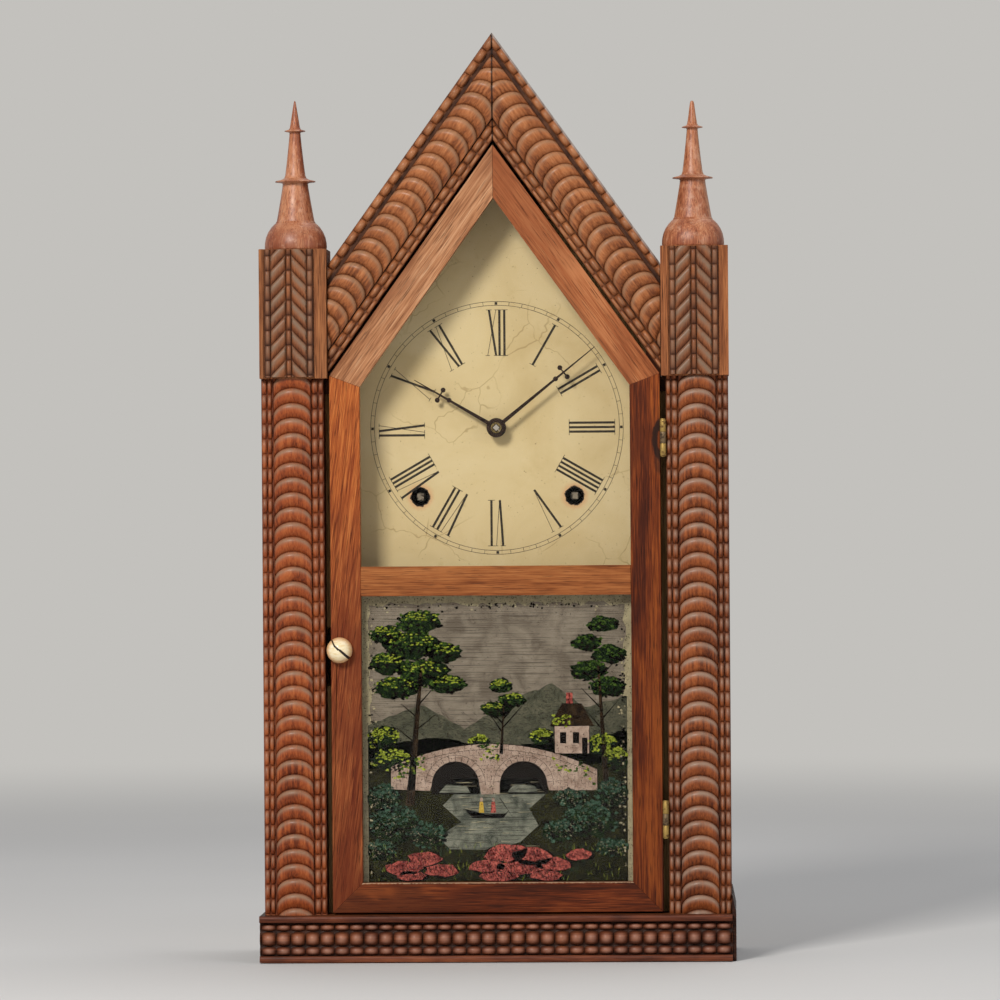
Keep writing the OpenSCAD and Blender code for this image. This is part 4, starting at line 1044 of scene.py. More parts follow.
def finial_finish():
    f = Finish("turned_finial", coat=0.22, coat_roughness=0.36)
    colour, grain, pores = wood_tone(
        f, grain_up(f, 0.9), tint(121, 61, 39), tint(162, 96, 63), tint(189, 130, 94),
        tint(127, 66, 42), figure=1.1)
    worn = f.shift(f.noise(f.where, 210, 5, 0.65), 0.52, 0.7, 0.0, 0.55)
    colour = f.mix(worn, colour, tint(200, 152, 124))
    f.set("Base Color", colour)
    f.set("Roughness", f.shift(f.noise(f.where, 120, 3), 0.3, 0.7, 0.34, 0.5))
    f.bump(f.math("SUBTRACT", grain, pores), 0.2, 0.0002)
    return f.material


FINIAL_R = (span("finials", 1)[1] - span("finials", 1)[0]) / 2
FINIAL_Y = sum(span("finials", 1)) / 2
FINIAL_X = span("finials", 0)[1] - FINIAL_R
finials = keep("finials_turned", joined(
    turned(FINIAL_LOW + TIP_LEFT, -FINIAL_X, FINIAL_Y, BLOCK_HIGH),
    turned(FINIAL_LOW + TIP_RIGHT, FINIAL_X, FINIAL_Y, BLOCK_HIGH)),
    "case", finial_finish(), 35)
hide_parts("finials")

# %% [markdown]
# ## The plain boards
#
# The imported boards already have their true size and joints. Each only needs its worn edges
# and its own wood. A weld joins the points that the file format splits, and a bevel then
# breaks every edge by a few tenths of a millimetre, so that edges catch the light.

# %% Helper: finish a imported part
WORN_EDGE = 0.35


def dress(names, material, edge=WORN_EDGE):
    for name in names:
        part = nodes[name]
        part.data.materials.clear()
        part.data.materials.append(material)
        if edge:
            weld = part.modifiers.new("weld", "WELD")
            weld.merge_threshold = 0.00001
            bevel = part.modifiers.new("worn_edges", "BEVEL")
            bevel.width = edge * MM
            bevel.segments = 2
            bevel.limit_method = "ANGLE"
            bevel.angle_limit = math.radians(35)
            bevel.harden_normals = True
    print("dressed", ", ".join(names))


print("edges are broken by", WORN_EDGE, "mm unless a part asks for less")

# %% [markdown]
# The door's boards came from different planks: an orange left stile with a slanted figure and
# a dark right stile. The raking rails are paler than the rest by a painted sheen, and their
# right half is darker by a painted shade. Both stiles are darker towards the foot.
# Above the upper hinge's leaf, the right stile keeps the dark outline of an older one.

# %% Door boards
SCAR_X, SCAR_Z = 90.6, 282.0

dress(["door_stile_left"], wood(
    "door_stile_left_wood", grain_slant, tint(116, 48, 20), tint(168, 89, 41), tint(200, 122, 62),
    tint(128, 58, 26), seed=0.1, figure=0.6, marks=[darker_foot(0.56, 0.52, 0.66)]))
dress(["door_stile_right"], wood(
    "door_stile_right_wood", grain_up, tint(68, 27, 12), tint(114, 51, 20), tint(154, 80, 32),
    tint(80, 34, 15), seed=0.2, figure=1.25,
    marks=[darker_foot(0.68, 0.64, 0.64), hinge_scar(SCAR_X, SCAR_Z)]))
dress(["door_middle_rail"], wood(
    "door_middle_wood", grain_level, tint(98, 48, 22), tint(142, 82, 42), tint(166, 104, 58),
    tint(112, 58, 28), seed=0.3))
dress(["door_bottom_rail"], wood(
    "door_bottom_wood", grain_level, tint(60, 25, 11), tint(98, 42, 18), tint(134, 68, 32),
    tint(66, 28, 13), seed=0.4, figure=1.3,
    marks=[worn_top_edge(span("door_bottom_rail", 2)[1] + 0.2, span("door_bottom_rail", 1)[0])]))
# Raking rails: paler than the other boards by a painted sheen, with the right half darkened as painted
# shade.
dress(["door_raking_rails"], wood(
    "door_raking_wood", grain_rake, tint(128, 80, 50), tint(174, 120, 82), tint(198, 152, 114),
    tint(146, 94, 62), seed=0.5, coat=0.12, marks=[right_half_tint(0.78, 0.53, 0.38)]))

# %% [markdown]
# The two blocks below the finials are plain boxes of solid wood. A groove on each side of
# the herringbone panel marks where it was let in, and each block stands right on the
# shoulder of the case.

# %% Finial blocks
BLOCK_IN, BLOCK_OUT = 90.5, span("finial_blocks", 0)[1]
BLOCK_BACK = span("finial_blocks", 1)[1]
GROOVES_LEFT = (-124.4, -97.4)
GROOVES_RIGHT = (94.9, 121.9)
GROOVE_DEEP, GROOVE_WIDE, GROOVE_NARROW = 0.9, 0.35, 0.2
BLOCK_EDGE = 0.28


def block_part(low_x, high_x, grooves):
    plan = [(low_x, BLOCK_BACK), (low_x, BLOCK_FRONT)]
    for at in grooves:
        plan += [(at - GROOVE_WIDE, BLOCK_FRONT), (at - GROOVE_NARROW, BLOCK_FRONT + GROOVE_DEEP),
                 (at + GROOVE_NARROW, BLOCK_FRONT + GROOVE_DEEP), (at + GROOVE_WIDE, BLOCK_FRONT)]
    plan += [(high_x, BLOCK_FRONT), (high_x, BLOCK_BACK)]
    bm = bmesh.new()
    lows = [vert_at(bm, (x, y, PILLAR_TOP)) for x, y in plan]
    highs = [vert_at(bm, (x, y, BLOCK_HIGH)) for x, y in plan]
    bm.faces.new(lows)
    bm.faces.new(highs)
    for i in range(len(plan)):
        j = (i + 1) % len(plan)
        bm.faces.new((lows[i], lows[j], highs[j], highs[i]))
    bmesh.ops.recalc_face_normals(bm, faces=bm.faces)
    sharp = [edge for edge in bm.edges if edge.calc_face_angle() > math.radians(35)]
    bmesh.ops.bevel(
        bm, geom=sharp, offset=BLOCK_EDGE * MM, segments=2, affect="EDGES", clamp_overlap=True)
    return bm


block_wood = wood(
    "block_wood", grain_up, tint(88, 48, 28), tint(132, 80, 47), tint(160, 104, 64),
    tint(98, 56, 34), seed=0.6, marks=[right_half_tint(1.2, 1.15, 1.12)])
blocks = keep("finial_blocks_grooved", joined(
    block_part(-BLOCK_OUT, -BLOCK_IN, GROOVES_LEFT),
    block_part(BLOCK_IN, BLOCK_OUT, GROOVES_RIGHT)),
    "case", block_wood, 40)
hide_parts("finial_blocks")

# %% [markdown]
# The case behind the mouldings is plain dark wood, and the roof is a little lighter. The
# skirts of the base are nearly black. What nobody sees, the back and the blocks inside, is
# cheap pine.

# %% Case boards
dress(["case_sides", "front_frame"], wood(
    "case_wood", grain_up, tint(58, 27, 16), tint(86, 42, 25), tint(118, 64, 38),
    tint(58, 28, 17), seed=0.7))
dress(["roof_boards", "shoulder_boards"], wood(
    "roof_wood", grain_rake, tint(66, 33, 20), tint(98, 52, 31), tint(132, 78, 48),
    tint(64, 33, 20), seed=0.8))
dress(["base_skirts"], wood(
    "skirt_wood", grain_level, tint(26, 14, 10), tint(44, 23, 16), tint(66, 37, 25),
    tint(24, 13, 10), seed=0.9))
pine = wood("old_pine", grain_up, tint(150, 110, 66), tint(182, 142, 92), tint(204, 168, 118),
            tint(142, 108, 70), seed=1.1, coat=0.0)
dress(["base_frame"], wood(
    "base_boards", grain_level, tint(58, 28, 14), tint(92, 49, 26), tint(118, 68, 38),
    tint(66, 34, 17), seed=1.1))
dress(["back_board", "door_stops", "dial_cleats", "movement_blocks"], pine)

# %% [markdown]
# ## Metal
#
# The hinges, hands and works are old metal: brass with brown spots, blued steel for the
# hands, plain steel for pins and springs, and cast iron for the block that holds the gong.
# Each is a metal whose colour and roughness are broken up by noise.

# %% Metal finish
def metal(name, clean, spot, roughness, spots, size, metallic=1.0, bump=0.15):
    f = Finish(name, metallic=metallic)
    stain = f.noise(f.where, size, 5, 0.65, 0.4)
    speck = f.noise(f.where, 6 * size, 3, 0.6)
    cover = f.shift(stain, 0.62 - 0.25 * spots, 0.78 - 0.25 * spots)
    colour = f.mix(cover, clean, spot)
    colour = f.mix(f.shift(speck, 0.62, 0.72, 0.0, 0.6), colour, shade(spot, 0.4))
    f.set("Base Color", colour)
    rough = f.shift(speck, 0.3, 0.7, roughness, roughness + 0.12)
    f.set("Roughness", f.math("MULTIPLY_ADD", cover, 0.25, rough))
    f.bump(f.math("MULTIPLY_ADD", speck, 0.5, cover), bump, 0.0001)
    return f.material


brass = metal("old_brass", tint(196, 158, 88), tint(146, 110, 60), 0.3, 0.25, 160)
hinge_brass = metal("hinge_brass", tint(164, 136, 76), tint(104, 76, 46), 0.5, 0.5, 420, 0.6)
hinge_steel = metal("hinge_leaf", tint(120, 100, 74), tint(70, 56, 44), 0.5, 0.6, 420, 0.6)
blued = metal("blued_steel", tint(50, 36, 30), tint(26, 19, 18), 0.38, 0.5, 400, 0.7)
steel = metal("plain_steel", tint(150, 146, 142), tint(92, 78, 66), 0.35, 0.4, 300)
washer = metal("hub_washer", tint(128, 106, 70), tint(58, 44, 32), 0.45, 0.8, 800, 0.6)
iron = metal("cast_iron", tint(62, 60, 58), tint(84, 58, 44), 0.65, 0.5, 260, 0.6, 0.4)
metals = (brass, hinge_brass, hinge_steel, blued, steel, washer, iron)
print("metals:", ", ".join(material.name for material in metals))

# %% [markdown]
# The finest parts get only a hair of a worn edge, and the works none: a bevel on every tooth
# would cost much and show nothing. The squared arbors in the winding holes get a darker,
# duller steel, a painted shade for the depth of the holes, and the catch plate is painted
# dark for the shade in the slit by the knob.

# %% Metal parts
dress(["hinge_case_leaves"], hinge_brass, 0.15)
dress(["hinge_door_leaves"], hinge_steel, 0.15)
dress(["hour_hand", "minute_hand"], blued, 0.12)
# Painted shade: darker, duller steel for the arbors deep in the winding holes.
dress(["time_winding_arbor", "strike_winding_arbor"], metal(
    "arbor_hole_shade", tint(136, 124, 108), tint(60, 50, 42), 0.55, 0.6, 500, 0.6), 0)
# Painted shade: the catch plate is dark for the shade in the slit by the knob.
dress(["catch_plate"], metal("catch_slit_shade", tint(52, 44, 38), tint(30, 23, 19), 0.6, 0.6, 300, 0.6), 0)
dress(["cannon_pinion"], washer, 0.1)
dress(["door_latch", "plate_pillars", "mainsprings", "gong_coil", "verge",
       "pendulum_rod", "hammer", "movement_screws"], steel, 0)
dress(["gong_block"], iron, 0.8)
works = [n for n in nodes if n.endswith("_wheel") and n != "centre_wheel"]
works += ["back_plate", "pendulum_bob", "fly"]
dress(works, brass, 0)

# %% [markdown]
# ## The dial
#
# The dial is a zinc plate painted cream. Old paint yellows, darkens in clouds and cracks in
# fine lines, and around both winding holes it has worn away in a rusty halo. The finish
# draws all of this from the place of each point on the plate, so no picture is needed. The
# brass plate behind the holes is painted black around both winding arbors, a painted shade
# for the depth of the holes.

# %% Dial paint
DIAL_Z = 289.4
WIND_X = 42.3
WIND_DROP = 37.4


def winding_reach(f):
    x, _, z = f.axes()
    side = f.math("SUBTRACT", f.math("ABSOLUTE", x), WIND_X * MM)
    drop = f.math("SUBTRACT", z, (DIAL_Z - WIND_DROP) * MM)
    reach = f.math("SQRT", f.math("MULTIPLY_ADD", side, side, f.math("MULTIPLY", drop, drop)))
    return f.math("MULTIPLY_ADD", f.noise(f.where, 420, 4, 0.7), 0.0035, reach)


def brass_with_hole_shade():
    f = Finish("brass_with_hole_shade", roughness=0.5, metallic=0.8)
    stain = f.noise(f.where, 160, 5, 0.65, 0.4)
    colour = f.mix(f.shift(stain, 0.5, 0.7), tint(176, 140, 76), tint(120, 90, 50))
    # Painted shade: the plate is black around both arbors, for the shade deep in the holes.
    painted_hole_shade = f.shift(winding_reach(f), 0.010, 0.022, 1.0, 0.0)
    f.set("Base Color", f.mix(painted_hole_shade, colour, tint(26, 22, 18)))
    f.bump(stain, 0.15, 0.0001)
    return f.material


def dial_paint():
    f = Finish("dial_paint", roughness=0.5)
    cloud = f.noise(f.where, 22, 4, 0.6, 0.5)
    colour = f.ramp(cloud, [
        (0.3, tint(199, 174, 126)), (0.5, tint(209, 186, 140)), (0.72, tint(215, 194, 151))])
    dirt_and_shade = f.noise(f.where, 70, 5, 0.7, 0.3)
    colour = f.mix(f.shift(dirt_and_shade, 0.6, 0.78, 0.0, 0.4), colour, tint(188, 162, 110))
    cell = f.add("ShaderNodeTexVoronoi", feature="DISTANCE_TO_EDGE")
    warp = f.noise(f.where, 40, 3, 0.6)
    moved = f.add("ShaderNodeVectorMath", operation="ADD")
    f.put(f.where, moved.inputs[0])
    f.put(f.math("MULTIPLY", warp, 0.02), moved.inputs[1])
    f.put(moved.outputs[0], cell.inputs["Vector"])
    cell.inputs["Scale"].default_value = 34
    crack = f.shift(cell.outputs["Distance"], 0.004, 0.012, 1.0, 0.0)
    some = f.shift(f.noise(f.where, 26, 2), 0.5, 0.62, 0.0, 0.5)
    crack = f.math("MULTIPLY", crack, some)
    colour = f.mix(crack, colour, tint(150, 122, 72))
    specks = f.shift(f.noise(f.where, 900, 2, 0.5), 0.71, 0.76, 0.0, 0.75)
    colour = f.mix(specks, colour, tint(120, 92, 52))
    rough_reach = winding_reach(f)
    halo = f.shift(rough_reach, 0.0062, 0.0105, 0.75, 0.0)
    colour = f.mix(halo, colour, tint(206, 150, 104))
    bare = f.shift(rough_reach, 0.0069, 0.0073, 1.0, 0.0)
    colour = f.mix(bare, colour, tint(40, 30, 24))
    f.set("Base Color", colour)
    f.bump(f.math("SUBTRACT", dirt_and_shade, crack), 0.12, 0.0002)
    return f.material


dress(["dial_plate"], dial_paint(), 0)
dress(["front_plate"], brass_with_hole_shade(), 0)

# %% [markdown]
# The hands are held by a pin through the squared end of the centre arbor. The end is only a
# few millimetres wide, so the bright square, its dark rim and the pin are drawn by distance
# along two axes that are turned by an eighth of a circle.

# %% Hub: a squared arbor with its pin, in a brown brass washer
EIGHTH = 0.7071


def hub_finish():
    f = Finish("hub_metal", roughness=0.42, metallic=0.75)
    x, _, z = f.axes()
    drop = f.math("SUBTRACT", z, DIAL_Z * MM)
    along = f.math("MULTIPLY_ADD", x, EIGHTH, f.math("MULTIPLY", drop, EIGHTH))
    across = f.math("MULTIPLY_ADD", x, EIGHTH, f.math("MULTIPLY", drop, -EIGHTH))
    reach = f.math("MAXIMUM", f.math("ABSOLUTE", along), f.math("ABSOLUTE", across))
    speck = f.noise(f.where, 1600, 3, 0.6)
    colour = f.mix(f.shift(speck, 0.35, 0.65), tint(70, 56, 34), tint(138, 118, 74))
    colour = f.mix(f.shift(reach, 0.0016, 0.0018, 1.0, 0.0), colour, tint(28, 22, 18))
    colour = f.mix(f.shift(reach, 0.0012, 0.0014, 1.0, 0.0), colour, tint(168, 160, 152))
    pin = f.math("MULTIPLY", f.shift(f.math("ABSOLUTE", along), 0.0002, 0.0004, 1.0, 0.0),
                 f.shift(across, 0.0011, 0.0012))
    colour = f.mix(pin, colour, tint(150, 140, 128))
    f.set("Base Color", colour)
    f.bump(f.math("MULTIPLY_ADD", reach, -60.0, speck), 0.2, 0.0001)
    return f.material


dress(["centre_wheel"], hub_finish(), 0.1)

# %% [markdown]
# The print on the dial is thin ink. Each numeral stands on a radius with its foot to the
# centre. A thick stroke and a hairline make the V and the X, and hairline serifs close
# every stroke. The four is written with four strokes, as on nearly every clock of this
# kind. The shapes are cut as prisms a few hundredths of a millimetre thick, just proud of
# the paint.

# %% Helper: flat shapes on the front of a plate
def prism(bm, outline, front, back, index=0):
    fronts = [vert_at(bm, (x, front, z)) for x, z in outline]
    backs = [vert_at(bm, (x, back, z)) for x, z in outline]
    made = [bm.faces.new(fronts), bm.faces.new(list(reversed(backs)))]
    for i in range(len(outline)):
        j = (i + 1) % len(outline)
        made.append(bm.faces.new((fronts[i], backs[i], backs[j], fronts[j])))
    for face in made:
        face.material_index = index


def dial_point(angle, across, radius):
    return (radius * math.sin(angle) + across * math.cos(angle),
            DIAL_Z + radius * math.cos(angle) - across * math.sin(angle))


print("three o'clock lies at", [round(v, 1) for v in dial_point(math.pi / 2, 0, 52)])

# %% The strokes of each numeral
NUMERAL_IN, NUMERAL_OUT = 39.6, 64.6
TRACK_IN, TRACK_OUT = 67.1, 69.2
THICK, HAIR = 1.25, 0.3
INK_FRONT, INK_BACK = DIAL_FACE - 0.03, DIAL_FACE + 0.01
SERIF_HALF = 1.9
NUMERALS = {
    0: [("X", -2.0, 1.9), ("I", 1.8, 0), ("I", 4.5, 0)], 1: [("I", 0, 0)],
    2: [("I", -1.3, 0), ("I", 1.4, 0)], 3: [("I", -2.5, 0), ("I", 0, 0), ("I", 2.4, 0)],
    4: [("I", -3.6, 0), ("I", -1.2, 0), ("I", 1.2, 0), ("I", 3.6, 0)], 5: [("V", -0.3, 2.5)],
    6: [("V", -1.2, 1.8), ("I", 3.3, 0)], 7: [("V", -3.6, 2.2), ("I", 1.0, 0), ("I", 3.7, 0)],
    8: [("V", -4.4, 2.4), ("I", 0.2, 0), ("I", 2.6, 0), ("I", 5.0, 0)],
    9: [("I", -3.7, 0), ("X", 0.2, 1.5)], 10: [("X", -1.7, 2.1)], 11: [("X", -2.7, 1.9), ("I", 1.2, 0)]}


def stroke(bm, angle, outer, inner, width):
    half = width / 2
    corners = ((outer - half, NUMERAL_OUT), (outer + half, NUMERAL_OUT),
               (inner + half, NUMERAL_IN), (inner - half, NUMERAL_IN))
    depth = 0.05 if width > 1 else 0.04
    prism(bm, [dial_point(angle, s, r) for s, r in corners], DIAL_FACE - depth, INK_BACK)


def serif(bm, angle, low, high, radius):
    corners = ((low, radius + HAIR / 2), (high, radius + HAIR / 2), (high, radius - HAIR / 2),
               (low, radius - HAIR / 2))
    prism(bm, [dial_point(angle, s, r) for s, r in corners], INK_FRONT, INK_BACK)


def numeral(bm, hour):
    angle = math.radians(30 * hour)
    outer_ends, inner_ends = [], []
    for kind, s, half in NUMERALS[hour]:
        if kind == "I":
            stroke(bm, angle, s, s, THICK)
            outer_ends.append((s - SERIF_HALF, s + SERIF_HALF))
            inner_ends.append((s - SERIF_HALF, s + SERIF_HALF))
        elif kind == "V":
            stroke(bm, angle, s - half, s - 0.15, THICK)
            stroke(bm, angle, s + half, s + 0.1, HAIR)
            outer_ends += [(s - half - 1.5, s - half + 1.5), (s + half - 0.9, s + half + 1.0)]
        else:
            stroke(bm, angle, s - half, s + half, THICK)
            stroke(bm, angle, s + half, s - half - 0.8, HAIR)
            outer_ends += [(s - half - 1.7, s - half + 1.5), (s + half - 0.8, s + half + 1.2)]
            inner_ends += [(s + half - 1.2, s + half + 1.5), (s - half - 2.0, s - half + 0.4)]
    for ends, radius in ((outer_ends, NUMERAL_OUT), (inner_ends, NUMERAL_IN)):
        merged = []
        for low, high in sorted(ends):
            if merged and low <= merged[-1][1] + 0.3:
                merged[-1][1] = max(high, merged[-1][1])
            else:
                merged.append([low, high])
        for low, high in merged:
            serif(bm, angle, low, high, radius)


print("numerals:", len(NUMERALS))

# %% Ink, track and squares
TRACK_HALF = 0.13


def ring(bm, r_in, r_out, segments=180):
    for k in range(segments):
        a, b = 2 * math.pi * k / segments, 2 * math.pi * (k + 1) / segments
        prism(bm, [dial_point(a, 0, r_out), dial_point(b, 0, r_out), dial_point(b, 0, r_in),
                   dial_point(a, 0, r_in)], INK_FRONT, INK_BACK)


ink = Finish("dial_ink", roughness=0.5)
wear = ink.noise(ink.where, 500, 4, 0.6)
ink.set("Base Color", ink.ramp(
    wear, [(0.35, tint(34, 26, 18)), (0.6, tint(50, 40, 26)), (0.72, tint(104, 86, 54))]))
bm = bmesh.new()
for hour in NUMERALS:
    numeral(bm, hour)
for r in (TRACK_IN, TRACK_OUT):
    ring(bm, r - TRACK_HALF, r + TRACK_HALF)
bmesh.ops.remove_doubles(bm, verts=bm.verts, dist=0.0005 * MM)
for minute in range(60):
    a = math.radians(6 * minute)
    half, low, high, front = 0.12, TRACK_IN + TRACK_HALF, TRACK_OUT - TRACK_HALF, INK_FRONT
    if minute % 5 == 0:
        half, low, high, front = 0.75, TRACK_IN + 0.3, TRACK_OUT - 0.3, DIAL_FACE - 0.05
    prism(bm, [dial_point(a, s, r) for s, r in ((-half, high), (half, high), (half, low), (-half, low))],
          front, INK_BACK)
keep("dial_print", bm, "case", ink.material)

# %% [markdown]
# ## The knob
#
# The door opens by a turned ivory knob. Ivory yellows at its rim and shows faint rings, and
# this one has split: a dark crack runs across its face. The crack is pressed into the
# surface itself, so that it shows its shadow.

# %% Outline of the knob and place of its crack
KNOB_LOW, KNOB_HIGH = (Vector(v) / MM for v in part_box("knob"))
KNOB_X, KNOB_Z = (KNOB_LOW.x + KNOB_HIGH.x) / 2, (KNOB_LOW.z + KNOB_HIGH.z) / 2
KNOB_R = (KNOB_HIGH.x - KNOB_LOW.x) / 2
KNOB_FLAT = 0.96
STEM_END = KNOB_HIGH.y - KNOB_LOW.y - 0.15
CRACK = [(-0.56, 0.76), (-0.34, 0.34), (-0.04, 0.06), (0.1, 0.0), (0.4, -0.28), (0.76, -0.62)]
CRACK_DEEP = 0.7


def knob_outline():
    outline = [(0.0, 0.0)]
    for i in range(1, 58):
        angle = math.radians(2.25 * i)
        outline.append((KNOB_R * math.sin(angle), KNOB_FLAT * KNOB_R * (1 - math.cos(angle))))
    shoulder = KNOB_FLAT * KNOB_R * 1.86
    return outline + [(0.52 * KNOB_R, shoulder), (0.5 * KNOB_R, STEM_END), (0.0, STEM_END)]


def groove_at(x, z):
    gaps = []
    for (x0, z0), (x1, z1) in zip(CRACK, CRACK[1:]):
        run, rise = x1 - x0, z1 - z0
        t = ((x - x0) * run + (z - z0) * rise) / (run ** 2 + rise ** 2)
        t = max(0.0, min(1.0, t))
        gaps.append(math.hypot(x - x0 - t * run, z - z0 - t * rise))
    wide = max(0.055 + 0.045 * (x + 0.6), 0.05)
    return math.exp(-(min(gaps) / wide) ** 4)


print("knob radius", round(KNOB_R, 2), "mm, crack", CRACK_DEEP, "mm deep")

# %% Ivory
def ivory():
    f = Finish("ivory", roughness=0.3, coat=0.3, coat_roughness=0.12)
    growth = f.noise(f.where, (300, 300, 900), 3, 0.5, 0.6)
    colour = f.ramp(growth, [
        (0.35, tint(228, 204, 156)), (0.5, tint(238, 220, 180)), (0.65, tint(244, 230, 198))])
    tone = f.tones()
    colour = f.mix(f.shift(tone[1], 0.62, 1.0, 0.0, 0.7), colour, tint(212, 150, 84))
    colour = f.mix(f.shift(tone[0], 0.25, 0.7), colour, tint(34, 24, 18))
    f.set("Base Color", colour)
    f.bump(growth, 0.1, 0.0001)
    return f.material


print("ivory finish ready")

# %% Knob with its crack
def knob_mesh(segments=180):
    bm = bmesh.new()
    tone_layer = bm.verts.layers.float_color.new("tone")
    rings = []
    for r, deep in knob_outline():
        ring_verts = []
        for k in range(segments if r else 1):
            a = 2 * math.pi * k / segments
            x, z = math.cos(a) * r / KNOB_R, math.sin(a) * r / KNOB_R
            groove = groove_at(x, z) if r and deep < KNOB_R else 0.0
            vert = vert_at(bm, (
                KNOB_X + x * KNOB_R, KNOB_LOW.y + deep + CRACK_DEEP * groove, KNOB_Z + z * KNOB_R))
            vert[tone_layer] = (groove, min(1.0, r / KNOB_R), 0.0, 1.0)
            ring_verts.append(vert)
        rings.append(ring_verts)
    skin(bm, rings)
    return bm


knob = keep("ivory_knob", knob_mesh(), "latch", ivory(), 60)
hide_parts("knob")

# %% [markdown]
# ## Glass
#
# Old window glass is thin and nearly clear. A ray passes straight through it, and only the
# share that bounces off, which grows towards grazing angles, shows as gloss. The putty that
# holds both panes has turned grey and crumbly.

# %% Clear glass and putty
def glass(name, tone):
    f = Finish(name)
    f.tree.nodes.remove(f.shader)
    clear = f.add("ShaderNodeBsdfTransparent")
    clear.inputs[0].default_value = tone
    gloss = f.add("ShaderNodeBsdfGlossy")
    gloss.inputs["Roughness"].default_value = 0.03
    gloss.inputs["Color"].default_value = (1, 1, 1, 1)
    facing = f.add("ShaderNodeLayerWeight")
    facing.inputs["Blend"].default_value = 0.5
    grazing = f.math("POWER", facing.outputs["Facing"], 5.0)
    bounce = f.math("MULTIPLY_ADD", grazing, 0.99, 0.006)
    ripple = f.add("ShaderNodeBump")
    ripple.inputs["Strength"].default_value = 0.04
    ripple.inputs["Distance"].default_value = 0.0005
    f.put(f.noise(f.where, 14, 2), ripple.inputs["Height"])
    f.put(ripple.outputs[0], gloss.inputs["Normal"])
    both = f.add("ShaderNodeMixShader")
    f.put(bounce, both.inputs[0])
    f.put(clear.outputs[0], both.inputs[1])
    f.put(gloss.outputs[0], both.inputs[2])
    f.put(both.outputs[0], f.tree.nodes["Material Output"].inputs["Surface"])
    return f.material


dress(["upper_glass"], glass("clear_glass", (0.98, 0.985, 0.975, 1)), 0)
dress(["tablet_glass"], glass("tablet_glass", (0.97, 0.98, 0.97, 1)), 0)
putty = Finish("old_putty", roughness=0.85)
putty.set("Base Color", putty.ramp(
    putty.noise(putty.where, 160, 5, 0.65), [(0.35, tint(120, 100, 74)), (0.65, tint(172, 152, 118))]))
putty.bump(putty.noise(putty.where, 700, 4, 0.6), 0.4, 0.0003)
dress(["glazing_putty"], putty.material, 0.2)

# %% [markdown]
# ## The picture on the lower glass
#
# Such pictures were printed or painted on the back of the glass, so the finest lines lie
# nearest to the viewer and each broader colour lies behind them. This one is a plain
# landscape made for this model: a stone bridge over a stream, a cottage, trees and rocks.
# Each colour is a thin layer of flat shapes right behind the pane, in that same order.

# %% Layers and paints of the picture
LAYER_THICK, LAYER_GAP = 0.03, 0.01
FIRST_GAP = 0.02
LAYERS = ["lines", "lights", "leaves", "masses", "middle", "far", "sky"]


def layer_y(name):
    front = GLASS_BACK + FIRST_GAP + LAYERS.index(name) * (LAYER_THICK + LAYER_GAP)
    return front, front + LAYER_THICK


def paint(name, low, high, speck, scale, amount, streak=None):
    f = Finish(name, roughness=0.9, gloss=0.0)
    tone = f.noise(f.where, scale, 4, 0.65, 0.5)
    colour = f.ramp(tone, [(0.36, low), (0.62, high)])
    dots = f.shift(f.noise(f.where, 1300, 3, 0.6), 0.66 - 0.14 * amount, 0.72 - 0.14 * amount)
    colour = f.mix(dots, colour, speck)
    if streak:
        lines = f.noise(f.where, streak, 2, 0.5)
        colour = f.mix(f.shift(lines, 0.52, 0.62, 0.0, 0.55), colour, speck)
    f.set("Base Color", colour)
    return f.material


PAINTS = {
    "margin": paint("paint_margin", tint(146, 134, 108), tint(176, 162, 130), tint(58, 48, 36),
                    180, 0.5),
    "sky": paint("paint_sky", tint(110, 98, 86), tint(138, 125, 111), tint(54, 46, 39), 90, 0.2,
                 (30, 30, 2000)),
    "hill": paint("paint_hill", tint(66, 66, 54), tint(96, 92, 76), tint(30, 28, 24), 120, 0.4,
                  (500, 500, 1400)),
    "stone": paint("paint_stone", tint(142, 116, 102), tint(184, 158, 142), tint(62, 46, 40),
                   160, 0.45),
    "black": paint("paint_black", tint(14, 11, 10), tint(26, 21, 18), tint(40, 34, 26), 200, 0.2),
    "deep": paint("paint_deep_green", tint(13, 20, 14), tint(28, 40, 22), tint(60, 76, 34), 300, 0.5),
    "green": paint("paint_green", tint(38, 58, 24), tint(78, 100, 40), tint(12, 18, 10), 500, 0.6),
    "teal": paint("paint_teal", tint(30, 52, 40), tint(72, 100, 80), tint(10, 16, 13), 500, 0.6),
    "lime": paint("paint_lime", tint(122, 134, 38), tint(168, 174, 62), tint(40, 50, 16), 500, 0.5),
    "rose": paint("paint_rose", tint(104, 40, 40), tint(198, 100, 88), tint(26, 12, 13), 420, 0.7,
                  (900, 900, 500)),
    "water": paint("paint_water", tint(70, 72, 64), tint(128, 126, 112), tint(34, 34, 30), 90, 0.2,
                   (60, 60, 1500)),
    "ground": paint("paint_ground", tint(18, 17, 12), tint(40, 38, 22), tint(74, 72, 34), 200, 0.5),
    "bark": paint("paint_bark", tint(30, 22, 17), tint(64, 48, 34), tint(14, 10, 8), 300, 0.6),
    "ochre": paint("paint_ochre", tint(176, 140, 48), tint(196, 162, 70), tint(80, 50, 24), 400, 0.4),
}
PAINT_INDEX = {name: i for i, name in enumerate(PAINTS)}
print("paints:", len(PAINTS), "layers:", len(LAYERS))

# %% [markdown]
# Everything in the picture is made of three kinds of mark: a flat shape, a ragged patch and
# a thin line that tapers like a pen stroke. A tree or a bush is one dark patch with many
# small ones over it, paler towards the light. A list of numbers drawn by chance, always the
# same ones, keeps the marks from looking stamped.

# %% Helpers: one shape, a ragged patch, a cluster of leaves, a line
chance = random.Random(41)
picture = bmesh.new()
PIC_X, PIC_LOW, PIC_HIGH = 71.0, 41.5, 195.6


